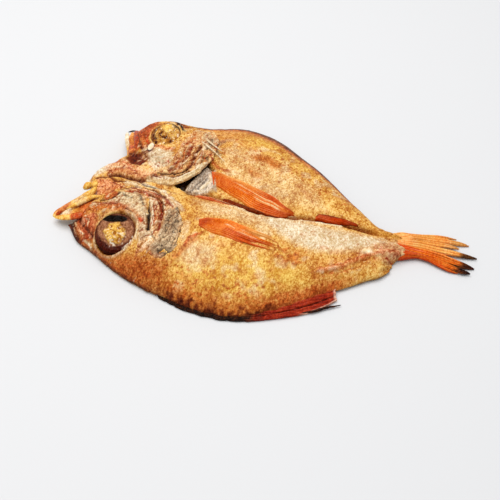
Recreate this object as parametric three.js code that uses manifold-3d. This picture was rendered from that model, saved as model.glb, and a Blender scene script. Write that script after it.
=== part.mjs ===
// A smoked fish that was split along its back, opened flat and laid skin side up.
// Both sides still hang together along the belly, which runs down the middle as a crease.
// Millimetres, +Z up. The snout points to -X, the tail to +X, and the fish's left side is +Y.
// The origin is the middle of the footprint, on the surface that the fish lies on.
import * as THREE from "three";
import { mergeVertices } from "three/addons/utils/BufferGeometryUtils.js";
import Module from "manifold-3d";

const wasm = await Module();
wasm.setup();

// ---------------------------------------------------------------- driving dimensions

const ROOT_X = 72; // where the body ends and the tail fin starts
const GAP = 0.35; // clearance between neighbouring pieces
const CREST = 0.28; // share of a side's width at which its flank stands highest
const HOLLOW = { depth: 5.5, reach: 0.3 }; // the belly cavity under the crease
const GILL_CHAMBER = { x: -42, y: 6, length: 13, width: 11, depth: 4.5 }; // left side, half sizes

const EYE = {
  depth: 4.4,
  sunk: 0.6, // how far the middle lies under the skin
  right: { x: -72.4, y: -38.8, radius: 10.9, lean: 26 },
  left: { x: -71.8, y: 37.8, radius: 9.8, lean: -6 },
};

// Knots (position, value) of the lines that shape the body, from head to tail.
const RIGHT_EDGE_Y = [[-104, -32.5], [-96, -41], [-85, -46.6], [-74, -52.4], [-62, -58], [-50, -62],
  [-38, -64.6], [-26, -66.8], [-14, -67.6], [-2, -66.6], [10, -62.4], [20, -56.4], [30, -49], [40, -41],
  [50, -33.6], [60, -26], [67, -21], [ROOT_X, -14]];
const LEFT_EDGE_Y = [[-104, 41], [-93, 45.4], [-85, 51.6], [-74, 55], [-64, 57.8], [-54, 61.6], [-45, 65.6],
  [-35, 69.2], [-22, 68.6], [-9, 64], [6, 54.4], [20, 45], [34, 32.6], [48, 19.6], [60, 9.6], [ROOT_X, 7.5]];
const CREASE_Y = [[-104, -8], [-84, -5], [-70, -2.8], [-44, -2.6], [-16, -1.2], [4, -2.6], [24, 0.8],
  [48, 2.6], [60, 1.6], [ROOT_X, -1]];
const RIGHT_CREST_Z = [[-104, 7], [-94, 11.5], [-84, 15.6], [-70, 18.2], [-50, 19.6], [-28, 18.6], [0, 16],
  [30, 12], [50, 9.6], [ROOT_X, 6.4]];
const LEFT_CREST_Z = [[-104, 8], [-94, 12.6], [-84, 16.8], [-70, 18.6], [-50, 18.8], [-28, 17.6], [0, 15],
  [30, 11.6], [50, 9.4], [ROOT_X, 6.2]];
const CREASE_Z = [[-104, 10], [-94, 12.5], [-82, 14.4], [-60, 14.2], [-40, 13], [0, 10.6], [30, 8.6],
  [50, 7.6], [ROOT_X, 5.8]];
const EDGE_Z = [[-104, 4.6], [-90, 4.4], [-60, 3.6], [0, 3], [40, 2.8], [ROOT_X, 4]];
// How each flank falls to its back edge: 0.5 is an ellipse, 1 a parabola, less is fuller. The left
// brow is full.
const RIGHT_FALL = [[-104, 0.72], [ROOT_X, 0.72]];
const LEFT_FALL = [[-104, 0.6], [-94, 0.45], [-84, 0.32], [-74, 0.3], [-64, 0.42], [-54, 0.62], [0, 0.72],
  [ROOT_X, 0.72]];
// The front of the head, from the right snout (-1) past the chin (0) to the left snout (1).
const FRONT_X = [[-1, -104], [-0.8, -100.5], [-0.5, -98], [-0.25, -95.5], [-0.05, -98.5], [0.1, -103.5],
  [0.24, -97.4], [0.4, -88.5], [0.6, -88], [0.8, -92.5], [1, -97.5]];

// ---------------------------------------------------------------- helpers

const { clamp, lerp, smoothstep, degToRad } = THREE.MathUtils;

// A smooth line through knots, as a function of the first number of each.
function lineThrough(knots) {
  const xs = knots.map((k) => k[0]);
  const spline = new THREE.CubicInterpolant(xs, knots.map((k) => k[1]), 1, new Float32Array(1));
  return (x) => spline.evaluate(clamp(x, xs[0], xs[xs.length - 1] - 1e-4))[0];
}

const rightEdge = lineThrough(RIGHT_EDGE_Y);
const leftEdge = lineThrough(LEFT_EDGE_Y);
const creaseY = lineThrough(CREASE_Y);
const rightCrest = lineThrough(RIGHT_CREST_Z);
const leftCrest = lineThrough(LEFT_CREST_Z);
const creaseZ = lineThrough(CREASE_Z);
const edgeZ = lineThrough(EDGE_Z);
const rightFall = lineThrough(RIGHT_FALL);
const leftFall = lineThrough(LEFT_FALL);
const frontX = lineThrough(FRONT_X);

// Across the body, -1 is the right back edge, 0 the crease and 1 the left back edge.
const acrossToY = (x, across) =>
  creaseY(x) + Math.abs(across) * ((across < 0 ? rightEdge(x) : leftEdge(x)) - creaseY(x));

function yToAcross(x, y) {
  const middle = creaseY(x);
  return y < middle ? (y - middle) / (middle - rightEdge(x)) : (y - middle) / (leftEdge(x) - middle);
}

// Height of the flanks: a valley at the crease, rounded on each side, thin at the back edge.
function flankZ(x, y) {
  const across = clamp(yToAcross(x, y), -1, 1);
  const crest = across < 0 ? rightCrest(x) : leftCrest(x);
  const share = Math.abs(across);
  if (share < CREST) return lerp(creaseZ(x), crest, Math.sin((share / CREST) * (Math.PI / 2)));
  const out = (share - CREST) / (1 - CREST);
  const fall = across < 0 ? rightFall(x) : leftFall(x);
  return lerp(edgeZ(x), crest, Math.pow(1 - out * out, fall));
}

// Height of the skin: the flanks, with the gill chamber sunk in behind the left cover.
function skinZ(x, y) {
  const { length, width, depth } = GILL_CHAMBER;
  const away = Math.hypot((x - GILL_CHAMBER.x) / length, (y - GILL_CHAMBER.y) / width);
  return flankZ(x, y) - depth * (1 - smoothstep(away, 0.3, 1));
}

// Height of the flesh underneath: flat where the sides lie, hollow under the belly.
function fleshZ(x, y) {
  const share = Math.abs(clamp(yToAcross(x, y), -1, 1));
  const length = smoothstep(x, -100, -70) * (1 - smoothstep(x, 5, 50));
  return HOLLOW.depth * length * (1 - smoothstep(share, 0.06, HOLLOW.reach));
}

// Bends a box blank: place(s, t, top) gives the point for s and t in 0..1 on its upper or lower face.
function bentBox(lengthwise, crosswise, place) {
  const blank = new THREE.BoxGeometry(1, 1, 1, lengthwise, crosswise, 1);
  const at = blank.attributes.position;
  for (let i = 0; i < at.count; i++) {
    const p = place(at.getX(i) + 0.5, at.getY(i) + 0.5, at.getZ(i) > 0);
    at.setXYZ(i, p.x, p.y, p.z);
  }
  return blank;
}

function toSolid(geometry) {
  const bare = geometry.clone().deleteAttribute("normal").deleteAttribute("uv");
  const merged = mergeVertices(bare, 1e-3);
  return new wasm.Manifold(new wasm.Mesh({
    numProp: 3,
    vertProperties: merged.attributes.position.array,
    triVerts: new Uint32Array(merged.index.array),
  }));
}

function toGeometry(solid) {
  const mesh = solid.getMesh();
  return new THREE.BufferGeometry()
    .setAttribute("position", new THREE.BufferAttribute(mesh.vertProperties, 3))
    .setIndex(new THREE.BufferAttribute(mesh.triVerts, 1));
}

// ---------------------------------------------------------------- materials

const finish = (color, roughness) => new THREE.MeshStandardMaterial({ color, roughness, metalness: 0 });
const SKIN = finish("#cf8f45", 0.5);
const CHEEK = finish("#c9b08a", 0.45);
const FIN = finish("#d9601c", 0.5);
const DARK_FIN = finish("#7c3018", 0.55);
const JAW = finish("#d98a35", 0.35);
const EYEBALL = finish("#5a3a20", 0.2);

const fish = new THREE.Group();

function add(name, geometry, material) {
  const mesh = new THREE.Mesh(geometry, material);
  mesh.name = name;
  fish.add(mesh);
}

// ---------------------------------------------------------------- eyes

// An eyeball is a flattened sphere that leans out with its side of the head.
function eyeball({ x, y, radius, lean }, extra) {
  const ball = new THREE.SphereGeometry(1, 24, 12);
  ball.rotateX(Math.PI / 2);
  ball.scale(radius + extra, radius + extra, EYE.depth + extra);
  ball.rotateX(degToRad(lean));
  ball.translate(x, y, skinZ(x, y) - EYE.sunk);
  return ball;
}

// ---------------------------------------------------------------- body

function bodyBlank() {
  return bentBox(46, 32, (s, t, top) => {
    const across = 2 * t - 1;
    const x = lerp(frontX(across), ROOT_X, s);
    const y = acrossToY(x, across);
    return new THREE.Vector3(x, y, top ? skinZ(x, y) : fleshZ(x, y));
  });
}

// ---------------------------------------------------------------- gill covers

// Each cover is a thin plate on the side of the head, free along its rear edge.
// Knots run from the throat (0) to the nape (1).
const COVER = {
  right_gill_cover: {
    y: [-11, -50],
    front: [[0, -80], [0.2, -62], [0.5, -57.5], [1, -55]],
    rear: [[0, -56], [0.15, -47], [0.35, -40], [0.6, -37.5], [0.85, -40], [1, -46]],
    lift: 0.8,
  },
  left_gill_cover: {
    y: [1, 49],
    front: [[0, -74], [0.25, -64], [0.5, -58], [1, -55]],
    rear: [[0, -55], [0.1, -46.6], [0.2, -42.4], [0.32, -39.2], [0.6, -38], [0.85, -41], [1, -47]],
    lift: 2.4,
  },
};
const COVER_THICKNESS = 1.7;

function gillCover({ y, front, rear, lift }) {
  const frontLine = lineThrough(front);
  const rearLine = lineThrough(rear);
  return bentBox(12, 10, (s, t, top) => {
    const toNape = y[0] < 0 ? 1 - t : t;
    const px = lerp(frontLine(toNape), rearLine(toNape), s);
    const py = lerp(y[0], y[1], toNape);
    const raised = lift * Math.pow(s, 3) + GAP;
    return new THREE.Vector3(px, py, flankZ(px, py) + raised + (top ? COVER_THICKNESS : 0));
  });
}

// ---------------------------------------------------------------- jaws

// Each upper jaw is a bent rod of bone along the front of its half of the head.
const JAWS = {
  right_upper_jaw: {
    path: [[-113, -29.4, 4.6], [-109.4, -25.2, 6.4], [-105, -20.6, 7.6], [-101.8, -15.4, 8.8],
      [-99.4, -10, 10]],
    radius: 1.6,
  },
  left_upper_jaw: {
    path: [[-100.6, 41, 6.4], [-96.4, 35.4, 8.6], [-92.6, 28.8, 9.6], [-90.4, 21.4, 10.6], [-91.8, 15, 11.4]],
    radius: 2,
  },
};

function jaw({ path, radius }) {
  const route = new THREE.CatmullRomCurve3(path.map((p) => new THREE.Vector3(...p)));
  const section = new THREE.Shape().absarc(0, 0, radius, 0, 2 * Math.PI);
  return new THREE.ExtrudeGeometry(section, { extrudePath: route, steps: 10, curveSegments: 4 });
}

// ---------------------------------------------------------------- fins

// A fin that lies on the skin. Knots run from its base (0) to its tip (1):
// the middle line's x and y, and half its width.
const SKIN_FINS = {
  right_pectoral_fin: {
    x: [-31, 15], y: [[0, -25.6], [0.25, -25.8], [0.5, -26.4], [1, -28]],
    half: [[0, 2.4], [0.25, 5.2], [0.5, 5.5], [0.8, 4.2], [1, 1.2]], rise: 0.6, thickness: 1.5,
  },
  left_pectoral_fin: {
    x: [-36, 15], y: [[0, 8.6], [0.3, 6.4], [0.57, 3.2], [0.78, 0.2], [1, -0.8]],
    half: [[0, 3.6], [0.3, 4.9], [0.57, 5.2], [0.78, 4.4], [0.92, 2.4], [1, 0.8]], rise: 1.6, thickness: 1.5,
  },
  right_pelvic_fin: {
    x: [-40, -14], y: [[0, -4], [0.5, -4.2], [1, -4.6]],
    half: [[0, 1], [0.5, 1.4], [1, 0.6]], rise: 0.3, thickness: 1.2,
  },
  left_pelvic_fin: {
    x: [-25, 9], y: [[0, -0.6], [0.5, -1.6], [1, -3.4]],
    half: [[0, 1.2], [0.4, 1.5], [1, 0.6]], rise: 0, thickness: 0.9,
  },
  anal_fin: {
    x: [26, 49], y: [[0, 3.2], [0.5, 4.2], [1, 4]],
    half: [[0, 0.9], [0.4, 1.8], [1, 0.7]], rise: 0.2, thickness: 2,
  },
};

function skinFin({ x, y, half, rise, thickness }) {
  const middle = lineThrough(y);
  const width = lineThrough(half);
  return bentBox(14, 3, (s, t, top) => {
    const px = lerp(x[0], x[1], s);
    const py = middle(s) + (2 * t - 1) * width(s);
    return new THREE.Vector3(px, py, flankZ(px, py) + GAP + rise + (top ? thickness : 0));
  });
}

// The dorsal fin stayed on the right side. It is folded along the back edge and lies on the surface.
const DORSAL = {
  x: [-42, 45], // where its base starts and ends
  lean: [[0, 2], [0.6, 3], [1, 2.2]], // how far back the ray tips lie, from front (0) to rear (1)
  reach: [[-42, 0.8], [-24, 1.3], [-10, 1.4], [4, 2.4], [14, 3.4], [20, 4.6], [27, 6.4], [32, 7.8], [37, 8.4],
    [42, 8], [47.2, 6]], // beyond the back edge, by x
  clearance: 0.6, // from the back edge
  thickness: [0.65, 1.3], // at the ray tips and at the base
};

function dorsalFin() {
  const lean = lineThrough(DORSAL.lean);
  const reach = lineThrough(DORSAL.reach);
  return bentBox(22, 2, (s, t, top) => {
    const px = lerp(DORSAL.x[0], DORSAL.x[1], s) + (1 - t) * lean(s);
    const py = rightEdge(px) - DORSAL.clearance - (1 - t) * reach(px);
    return new THREE.Vector3(px, py, top ? lerp(...DORSAL.thickness, t) : 0);
  });
}

// The tail fin fans out from the end of the body and droops to the surface.
// Its right and left edges run from its root (0) to its tips (1). The length of its rays, as a
// share of the longest, runs from the right edge (-1) to the left edge (1).
const TAIL = {
  length: 41.6,
  thickness: [4.4, 0.9], // at the root and where the rays are bare
  standing: 1.2, // height of the root above the surface
  right: [[0, -8.4], [0.3, -6.6], [0.7, -6.4], [1, -5]],
  left: [[0, 6.6], [0.3, 10.6], [0.7, 14], [1, 14.6]],
  rays: [[-1, 0.97], [-0.6, 1], [-0.2, 0.9], [0.1, 0.98], [0.4, 0.8], [0.7, 0.86], [1, 0.74]],
};

function tailFin() {
  const right = lineThrough(TAIL.right);
  const left = lineThrough(TAIL.left);
  const rays = lineThrough(TAIL.rays);
  return bentBox(14, 12, (s, t, top) => {
    const out = s * rays(2 * t - 1);
    const thickness = lerp(...TAIL.thickness, smoothstep(out, 0, 0.55));
    const bottom = TAIL.standing * (1 - smoothstep(out, 0, 0.6));
    const py = lerp(right(out), left(out), t);
    return new THREE.Vector3(ROOT_X + GAP + out * TAIL.length, py, bottom + (top ? thickness : 0));
  });
}

// ---------------------------------------------------------------- assembly

let body = toSolid(bodyBlank());
for (const side of ["right", "left"]) {
  body = body.subtract(toSolid(eyeball(EYE[side], GAP)));
  add(`${side}_eye`, eyeball(EYE[side], 0), EYEBALL);
}
add("body", toGeometry(body), SKIN);
for (const [name, shape] of Object.entries(COVER)) add(name, gillCover(shape), CHEEK);
for (const [name, shape] of Object.entries(JAWS)) add(name, jaw(shape), JAW);
for (const [name, shape] of Object.entries(SKIN_FINS)) add(name, skinFin(shape), FIN);
add("dorsal_fin", dorsalFin(), DARK_FIN);
add("tail_fin", tailFin(), FIN);

export default fish;
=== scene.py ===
"""A smoked fish, split along its back, opened flat and laid skin side up.

Shapes are worked out in millimetres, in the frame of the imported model, and written in metres.
+X is the tail, -X the snouts, +Y the fish's left side, -Y its right side, +Z up from the surface.
"""

import math

import bmesh
import bpy
import numpy as np
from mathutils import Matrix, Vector


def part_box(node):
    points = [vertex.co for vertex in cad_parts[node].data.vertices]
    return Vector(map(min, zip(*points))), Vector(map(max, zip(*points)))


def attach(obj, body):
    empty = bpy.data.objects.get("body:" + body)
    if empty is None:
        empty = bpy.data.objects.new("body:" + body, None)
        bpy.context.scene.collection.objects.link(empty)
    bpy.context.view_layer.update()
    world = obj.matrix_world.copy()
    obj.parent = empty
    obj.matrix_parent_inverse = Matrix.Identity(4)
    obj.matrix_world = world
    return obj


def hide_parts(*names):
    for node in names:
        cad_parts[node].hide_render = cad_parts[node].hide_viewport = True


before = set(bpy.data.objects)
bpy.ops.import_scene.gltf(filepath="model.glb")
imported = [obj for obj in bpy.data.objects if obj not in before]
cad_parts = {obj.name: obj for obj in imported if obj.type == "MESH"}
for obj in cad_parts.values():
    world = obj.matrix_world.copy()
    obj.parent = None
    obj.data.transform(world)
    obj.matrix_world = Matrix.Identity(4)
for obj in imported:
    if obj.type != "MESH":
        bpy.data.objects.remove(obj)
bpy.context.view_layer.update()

MM = 0.001  # metres in a millimetre


# ---------------------------------------------------------------- lines, noise and marks


def smooth(value, start, end):
    """0 before start, 1 after end, and a soft step between."""
    t = np.clip((value - start) / (end - start), 0, 1)
    return t * t * (3 - 2 * t)


def line(*knots):
    """A smooth line through knots (position, value), as a function."""
    xs = np.array([k[0] for k in knots], float)
    ys = np.array([k[1] for k in knots], float)
    slopes = np.gradient(ys, xs)

    def at(x):
        x = np.clip(x, xs[0], xs[-1])
        i = np.clip(np.searchsorted(xs, x) - 1, 0, len(xs) - 2)
        h = xs[i + 1] - xs[i]
        t = (x - xs[i]) / h
        rise = t * t * (3 - 2 * t)
        bend = (t ** 3 - 2 * t * t + t) * h * slopes[i] + (t ** 3 - t * t) * h * slopes[i + 1]
        return ys[i] + (ys[i + 1] - ys[i]) * rise + bend

    return at


def noise(x, y, size, seed):
    """Smooth noise from -1 to 1 with bumps of about that size."""
    n = 61  # the pattern repeats after this many bumps
    table = np.random.default_rng(seed).uniform(-1, 1, (n, n))
    shift_x, shift_y = 911.7, 733.3
    u, v = x / size + shift_x, y / size + shift_y
    i, j = np.floor(u).astype(int), np.floor(v).astype(int)
    a, b = smooth(u - i, 0, 1), smooth(v - j, 0, 1)
    before = table[i % n, j % n] * (1 - a) + table[(i + 1) % n, j % n] * a
    after = table[i % n, (j + 1) % n] * (1 - a) + table[(i + 1) % n, (j + 1) % n] * a
    return before * (1 - b) + after * b


def fractal(x, y, size, seed, octaves=3):
    """Noise with finer noise on it."""
    total = np.zeros_like(x)
    for k in range(octaves):
        total += noise(x + 3.1 * k, y - 2.3 * k, size / 2 ** k, seed + k) / 2 ** k
    return total / 1.6


def distance(x, y, path):
    """Distance to a path of straight pieces."""
    best = np.full_like(x, 1e9)
    for (ax, ay), (bx, by) in zip(path, path[1:] or path):
        dx, dy = bx - ax, by - ay
        t = np.clip(((x - ax) * dx + (y - ay) * dy) / max(dx * dx + dy * dy, 1e-9), 0, 1)
        best = np.minimum(best, np.hypot(x - ax - t * dx, y - ay - t * dy))
    return best


def stroke(x, y, path, width):
    """1 on a path, falling off over its width."""
    return np.exp(-(distance(x, y, path) / width) ** 3)


def patch(x, y, outline, soft):
    """1 inside an outline, 0 outside, with an edge that wide."""
    inside = np.zeros(x.shape, bool)
    closed = list(outline) + [outline[0]]
    for (ax, ay), (bx, by) in zip(closed, closed[1:]):
        crosses = (ay > y) != (by > y)
        inside ^= crosses & (x < (bx - ax) * (y - ay) / (by - ay + 1e-9) + ax)
    edge = distance(x, y, closed)
    return smooth(np.where(inside, edge, -edge), -soft, soft)


class Surface:
    """Points of a piece, with their height and colour masks, as marks are made on them.

    Drawn and filled marks follow x and y with a wobble, wx and wy, so that no edge is clean.
    """

    def __init__(self, x, y):
        wobble = 0.5
        self.x, self.y, self.height, self.masks = x, y, np.zeros_like(x), {}
        self.wx = x + wobble * noise(x, y, 2.2, 5)
        self.wy = y + wobble * noise(x, y, 2.2, 6)

    def paint(self, amount, **masks):
        """Lays colours on. Where two marks of a colour meet, the stronger one shows."""
        for name, strength in masks.items():
            old = self.masks.get(name, np.zeros_like(self.x))
            self.masks[name] = np.maximum(old, strength * amount)

    def clear(self, amount, *names):
        """Takes colours off again."""
        for name in names:
            if name in self.masks:
                self.masks[name] = self.masks[name] * (1 - amount)

    def draw(self, width, height, path, **masks):
        """A ridge or a groove of that height along a path, in those colours."""
        amount = stroke(self.wx, self.wy, path, width)
        self.height += height * amount
        self.paint(amount, **masks)

    def fill(self, soft, height, outline, **masks):
        """A raised or sunken patch with a soft edge, in those colours."""
        amount = patch(self.wx, self.wy, outline, soft)
        self.height += height * amount
        self.paint(amount, **masks)

    def pale_highlight_line(self, width, height, path, pale=1.0):
        """A raised line painted pale as a highlight, showing through the colours around it."""
        broken = 0.35 + 0.65 * smooth(noise(self.x, self.y, 1.7, 71), -0.4, 0.3)
        amount = stroke(self.wx, self.wy, path, width) * broken
        self.height += height * amount
        self.clear(amount, "red", "brown", "dark", "pink", "grey")
        self.paint(amount, pale=pale)

    def crackle(self, amount, size, angle, seed, light=0.75, **masks):
        """Wandering cracks about that far apart, drawn out along an angle in degrees, with light ridges."""
        turn = math.radians(angle)
        along = self.x * math.cos(turn) + self.y * math.sin(turn)
        beside = self.y * math.cos(turn) - self.x * math.sin(turn)
        field = noise(along * 0.45, beside, size, seed)
        field = field + 0.6 * noise(along * 0.6, beside, size / 2, seed + 1)
        crack = (1 - smooth(np.abs(field), 0.0, 0.2)) * amount
        ridge = smooth(field, 0.45, 0.9) * amount
        self.height += 0.35 * ridge - 0.45 * crack
        self.paint(crack, **masks)
        self.clear(0.8 * light * ridge, "red", "brown", "dark")
        self.paint(light * ridge, pale=1.0)

    def glints(self, amount, seed):
        """Painted highlights: small pale specks that stand in for wet spots catching the light."""
        spots = noise(self.x, self.y, 0.85, seed) + 0.7 * noise(self.x, self.y, 0.45, seed + 1)
        self.paint(smooth(spots, 1.0, 1.25) * amount, glint=0.85)


# ---------------------------------------------------------------- shapes of the body

HEAD_X = -104  # where the lines below start, at the front of the head
ROOT_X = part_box("body")[1][0] / MM  # where the body ends and the tail fin starts
CREST = 0.28  # share of a side's width at which its flank stands highest
FALL = 0.66  # how roundly a flank falls from there to the back edge; 0.5 is a quarter ellipse

# lines over x: y of both back edges and of the crease between the two sides
right_edge = line((HEAD_X, -32.5), (-96, -41), (-85, -46.6), (-74, -52.4), (-62, -58), (-50, -62),
                  (-38, -64.6), (-26, -66.8), (-14, -67.6), (-2, -66.6), (10, -62.4), (20, -56.4),
                  (30, -49), (40, -41), (50, -33.6), (60, -26), (67, -21), (ROOT_X, -14))
left_edge = line((HEAD_X, 41), (-93, 45.4), (-85, 51.6), (-74, 55), (-64, 57.8), (-54, 61.6),
                 (-45, 65.6), (-35, 69.2), (-22, 68.6), (-9, 64), (6, 54.4), (20, 45), (34, 32.6),
                 (48, 19.6), (60, 9.6), (ROOT_X, 7.5))
crease_y = line((HEAD_X, -8), (-84, -5), (-70, -2.8), (-44, -2.6), (-30, -1.4), (-16, -2.4), (-4, -4),
                (8, -3), (24, 0.8), (48, 2.6), (60, 1.6), (ROOT_X, -1))
# lines over x: heights of both crests, of the crease, and of the right and the left back edge
right_crest = line((HEAD_X, 7), (-94, 11.5), (-84, 15.6), (-70, 18.2), (-50, 19.4), (-28, 18.6),
                   (0, 16), (30, 12), (50, 9.6), (ROOT_X, 6.4))
left_crest = line((HEAD_X, 8), (-94, 12.6), (-84, 16.8), (-70, 18.6), (-50, 18.8), (-28, 17.6), (0, 15),
                  (30, 11.6), (50, 9.4), (ROOT_X, 6.2))
crease_z = line((HEAD_X, 10), (-94, 12.5), (-82, 14.4), (-60, 14.2), (-40, 13), (0, 10.6), (30, 8.6),
                (50, 7.6), (ROOT_X, 5.8))
edge_z = line((HEAD_X, 2.4), (-90, 2), (-60, 1.7), (0, 1.8), (40, 1.8), (ROOT_X, 3))
brow_z = line((HEAD_X, 3.4), (-94, 4.6), (-84, 6.6), (-74, 6.4), (-64, 3.6), (-54, 2.4), (0, 1.8),
              (40, 1.8), (ROOT_X, 3))
# a line over x: how the left flank falls, fuller at the brow
left_fall = line((HEAD_X, 0.6), (-94, 0.45), (-84, 0.3), (-74, 0.28), (-64, 0.4), (-54, 0.6), (0, FALL),
                 (ROOT_X, FALL))
# a line over the share across, from the right edge at -1 to the left one at 1: x of the head's front
front_x = line((-1, -104), (-0.8, -100.5), (-0.5, -98), (-0.25, -95.5), (-0.05, -98.5), (0.1, -104),
               (0.2, -105), (0.28, -102.5), (0.34, -95), (0.4, -88.5), (0.6, -88), (0.8, -92.5), (1, -97.5))


def side_share(x, y):
    """-1 at the right back edge, 0 in the crease, 1 at the left back edge."""
    middle = crease_y(x)
    right_share = (y - middle) / (middle - right_edge(x))
    left_share = (y - middle) / (left_edge(x) - middle)
    return np.where(y < middle, right_share, left_share)


def flank_z(x, y):
    """Height of the flanks: a valley at the crease, rounded, and thin at the back edge."""
    across = np.clip(side_share(x, y), -1, 1)
    crest = np.where(across < 0, right_crest(x), left_crest(x))
    edge = np.where(across < 0, edge_z(x), brow_z(x))
    share = np.abs(across)
    inner = crease_z(x) + (crest - crease_z(x)) * np.sin(np.clip(share / CREST, 0, 1) * math.pi / 2)
    fall = np.clip((share - CREST) / (1 - CREST), 0, 1)
    steep = np.where(across < 0, FALL, left_fall(x))
    return np.where(share < CREST, inner, edge + (crest - edge) * (1 - fall ** 2) ** steep)


# ---------------------------------------------------------------- making pieces


def blank(name, lengthwise, crosswise, fine=False):
    """A closed flat box blank. Returns its mesh and each point's s and t (0 to 1) and whether it is on top.

    A fine blank has its upper face divided once more than its lower one.
    """
    bm = bmesh.new()
    bmesh.ops.create_grid(bm, x_segments=lengthwise, y_segments=crosswise, size=0.5)
    raised = bmesh.ops.extrude_face_region(bm, geom=bm.faces[:], use_keep_orig=True)
    upper = [v for v in raised["geom"] if isinstance(v, bmesh.types.BMVert)]
    bmesh.ops.translate(bm, verts=upper, vec=(0, 0, 1))
    if fine:
        edges = [e for e in bm.edges if min(v.co.z for v in e.verts) > 0.5]
        bmesh.ops.subdivide_edges(bm, edges=edges, cuts=1, use_grid_fill=True)
    bmesh.ops.recalc_face_normals(bm, faces=bm.faces[:])
    mesh = bpy.data.meshes.new(name)
    bm.to_mesh(mesh)
    bm.free()
    at = points_of(mesh)
    return mesh, at[:, 0] + 0.5, at[:, 1] + 0.5, at[:, 2] > 0.5


def ball(name, around, along):
    """A closed round blank. Returns its mesh and each point's place on a ball of radius 1."""
    bm = bmesh.new()
    bmesh.ops.create_uvsphere(bm, u_segments=around, v_segments=along, radius=1)
    mesh = bpy.data.meshes.new(name)
    bm.to_mesh(mesh)
    bm.free()
    return mesh, points_of(mesh)


def points_of(mesh):
    """A mesh's points, as rows of x, y and z."""
    at = np.empty(len(mesh.vertices) * 3, np.float32)
    mesh.vertices.foreach_get("co", at)
    return at.reshape(-1, 3).astype(float)


def shape(mesh, points, masks):
    """Moves a mesh's points to their places in millimetres and gives them their masks."""
    mesh.vertices.foreach_set("co", (np.asarray(points) * MM).astype(np.float32).ravel())
    for name, values in masks.items():
        attribute = mesh.attributes.new(name, "FLOAT", "POINT")
        attribute.data.foreach_set("value", np.clip(values, 0, 1).astype(np.float32))
    bm = bmesh.new()
    bm.from_mesh(mesh)
    bmesh.ops.recalc_face_normals(bm, faces=bm.faces[:])
    bm.to_mesh(mesh)
    bm.free()
    mesh.shade_smooth()


def piece(name, mesh, slot, materials, *nodes):
    """Puts a finished mesh in the scene as a piece that stands for those CAD nodes."""
    obj = bpy.data.objects.new(name, mesh)
    bpy.context.scene.collection.objects.link(obj)
    for material in materials:
        mesh.materials.append(material)
    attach(obj, "root")
    if nodes:
        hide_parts(*nodes)


def route(path):
    """A smooth path in space: gives the point and the direction at each share s of its length."""
    path = np.array(path, float)
    steps = np.r_[0, np.cumsum(np.linalg.norm(np.diff(path, axis=0), axis=1))]
    lines = [line(*zip(steps / steps[-1], path[:, k])) for k in range(3)]

    def at(s):
        ahead, behind = np.clip(s + 0.01, 0, 1), np.clip(s - 0.01, 0, 1)
        point = np.stack([f(s) for f in lines], 1)
        way = np.stack([f(ahead) - f(behind) for f in lines], 1)
        return point, way / np.linalg.norm(way, axis=1)[:, None]

    return at


def limb_points(at, path, radius, flat, rough, seed):
    """Bends a round blank into a rod along a path. Returns its points and each one's share of the length.

    radius is a line over that share, flat the rod's height to its width, and rough how lumpy it is.
    """
    s = np.arccos(np.clip(-at[:, 2], -1, 1)) / math.pi
    turn = np.arctan2(at[:, 1], at[:, 0])
    point, way = route(path)(s)
    side = np.cross(way, (0, 0, 1.0))
    side /= np.linalg.norm(side, axis=1)[:, None]
    over = np.cross(side, way)
    cap = np.sin(np.clip(s * (1 - s) * 4, 0, 1) ** 0.5 * math.pi / 2) ** 0.7
    size = radius(s) * cap * (1 + rough * fractal(s * 20, np.cos(turn) * 3, 2.0, seed))
    size *= 1 + rough * 0.6 * noise(np.sin(turn) * 2, s * 12, 1.0, seed + 9)
    sideways = side * (size * np.cos(turn))[:, None]
    upwards = over * (size * np.sin(turn) * flat)[:, None]
    return point + sideways + upwards, s


# ---------------------------------------------------------------- materials


TONE_STRENGTH = 0.9  # how much of a display colour's light the surface gives back


def tone(code):
    """A surface colour from its display code, as a linear colour."""
    parts = [int(code[k:k + 2], 16) / 255 for k in (1, 3, 5)]
    return [TONE_STRENGTH * (c / 12.92 if c < 0.04 else ((c + 0.055) / 1.055) ** 2.4) for c in parts] + [1]


class Graph:
    """Short ways to add and join shader nodes."""

    def __init__(self, tree):
        self.tree = tree

    def put(self, kind, inputs=None, **settings):
        """Adds a node. Its inputs are values, or sockets to link."""
        node = self.tree.nodes.new(kind)
        for name, value in settings.items():
            setattr(node, name, value)
        for key, value in (inputs or {}).items():
            if isinstance(value, bpy.types.NodeSocket):
                self.tree.links.new(value, node.inputs[key])
            else:
                node.inputs[key].default_value = value
        return node

    def math(self, operation, a, b, clamp=False):
        return self.put("ShaderNodeMath", {0: a, 1: b}, operation=operation, use_clamp=clamp).outputs[0]

    def mix(self, amount, a, b):
        """One colour over another. The numbers are the colour sockets of a Mix node."""
        return self.put("ShaderNodeMix", {0: amount, 6: a, 7: b}, data_type="RGBA").outputs[2]

    def noise(self, where, scale, detail, roughness=0.6, distortion=0.0):
        inputs = {"Vector": where, "Scale": scale, "Detail": detail, "Roughness": roughness,
                  "Distortion": distortion}
        return self.put("ShaderNodeTexNoise", inputs).outputs[0]

    def spread(self, value, low, high):
        """Stretches low..high to 0..1."""
        node = self.put("ShaderNodeMapRange", {0: value, 1: low, 2: high, 3: 0.0, 4: 1.0}, clamp=True)
        return node.outputs[0]


def new_group(name, inputs, outputs):
    """A shader node group with those sockets. Returns the group, its graph and its two end nodes."""
    group = bpy.data.node_groups.new(name, "ShaderNodeTree")
    for label, kind, value in inputs:
        socket = group.interface.new_socket(label, in_out="INPUT", socket_type=kind)
        socket.default_value = value
    for label, kind in outputs:
        group.interface.new_socket(label, in_out="OUTPUT", socket_type=kind)
    graph = Graph(group)
    return group, graph, graph.put("NodeGroupInput"), graph.put("NodeGroupOutput")


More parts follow.
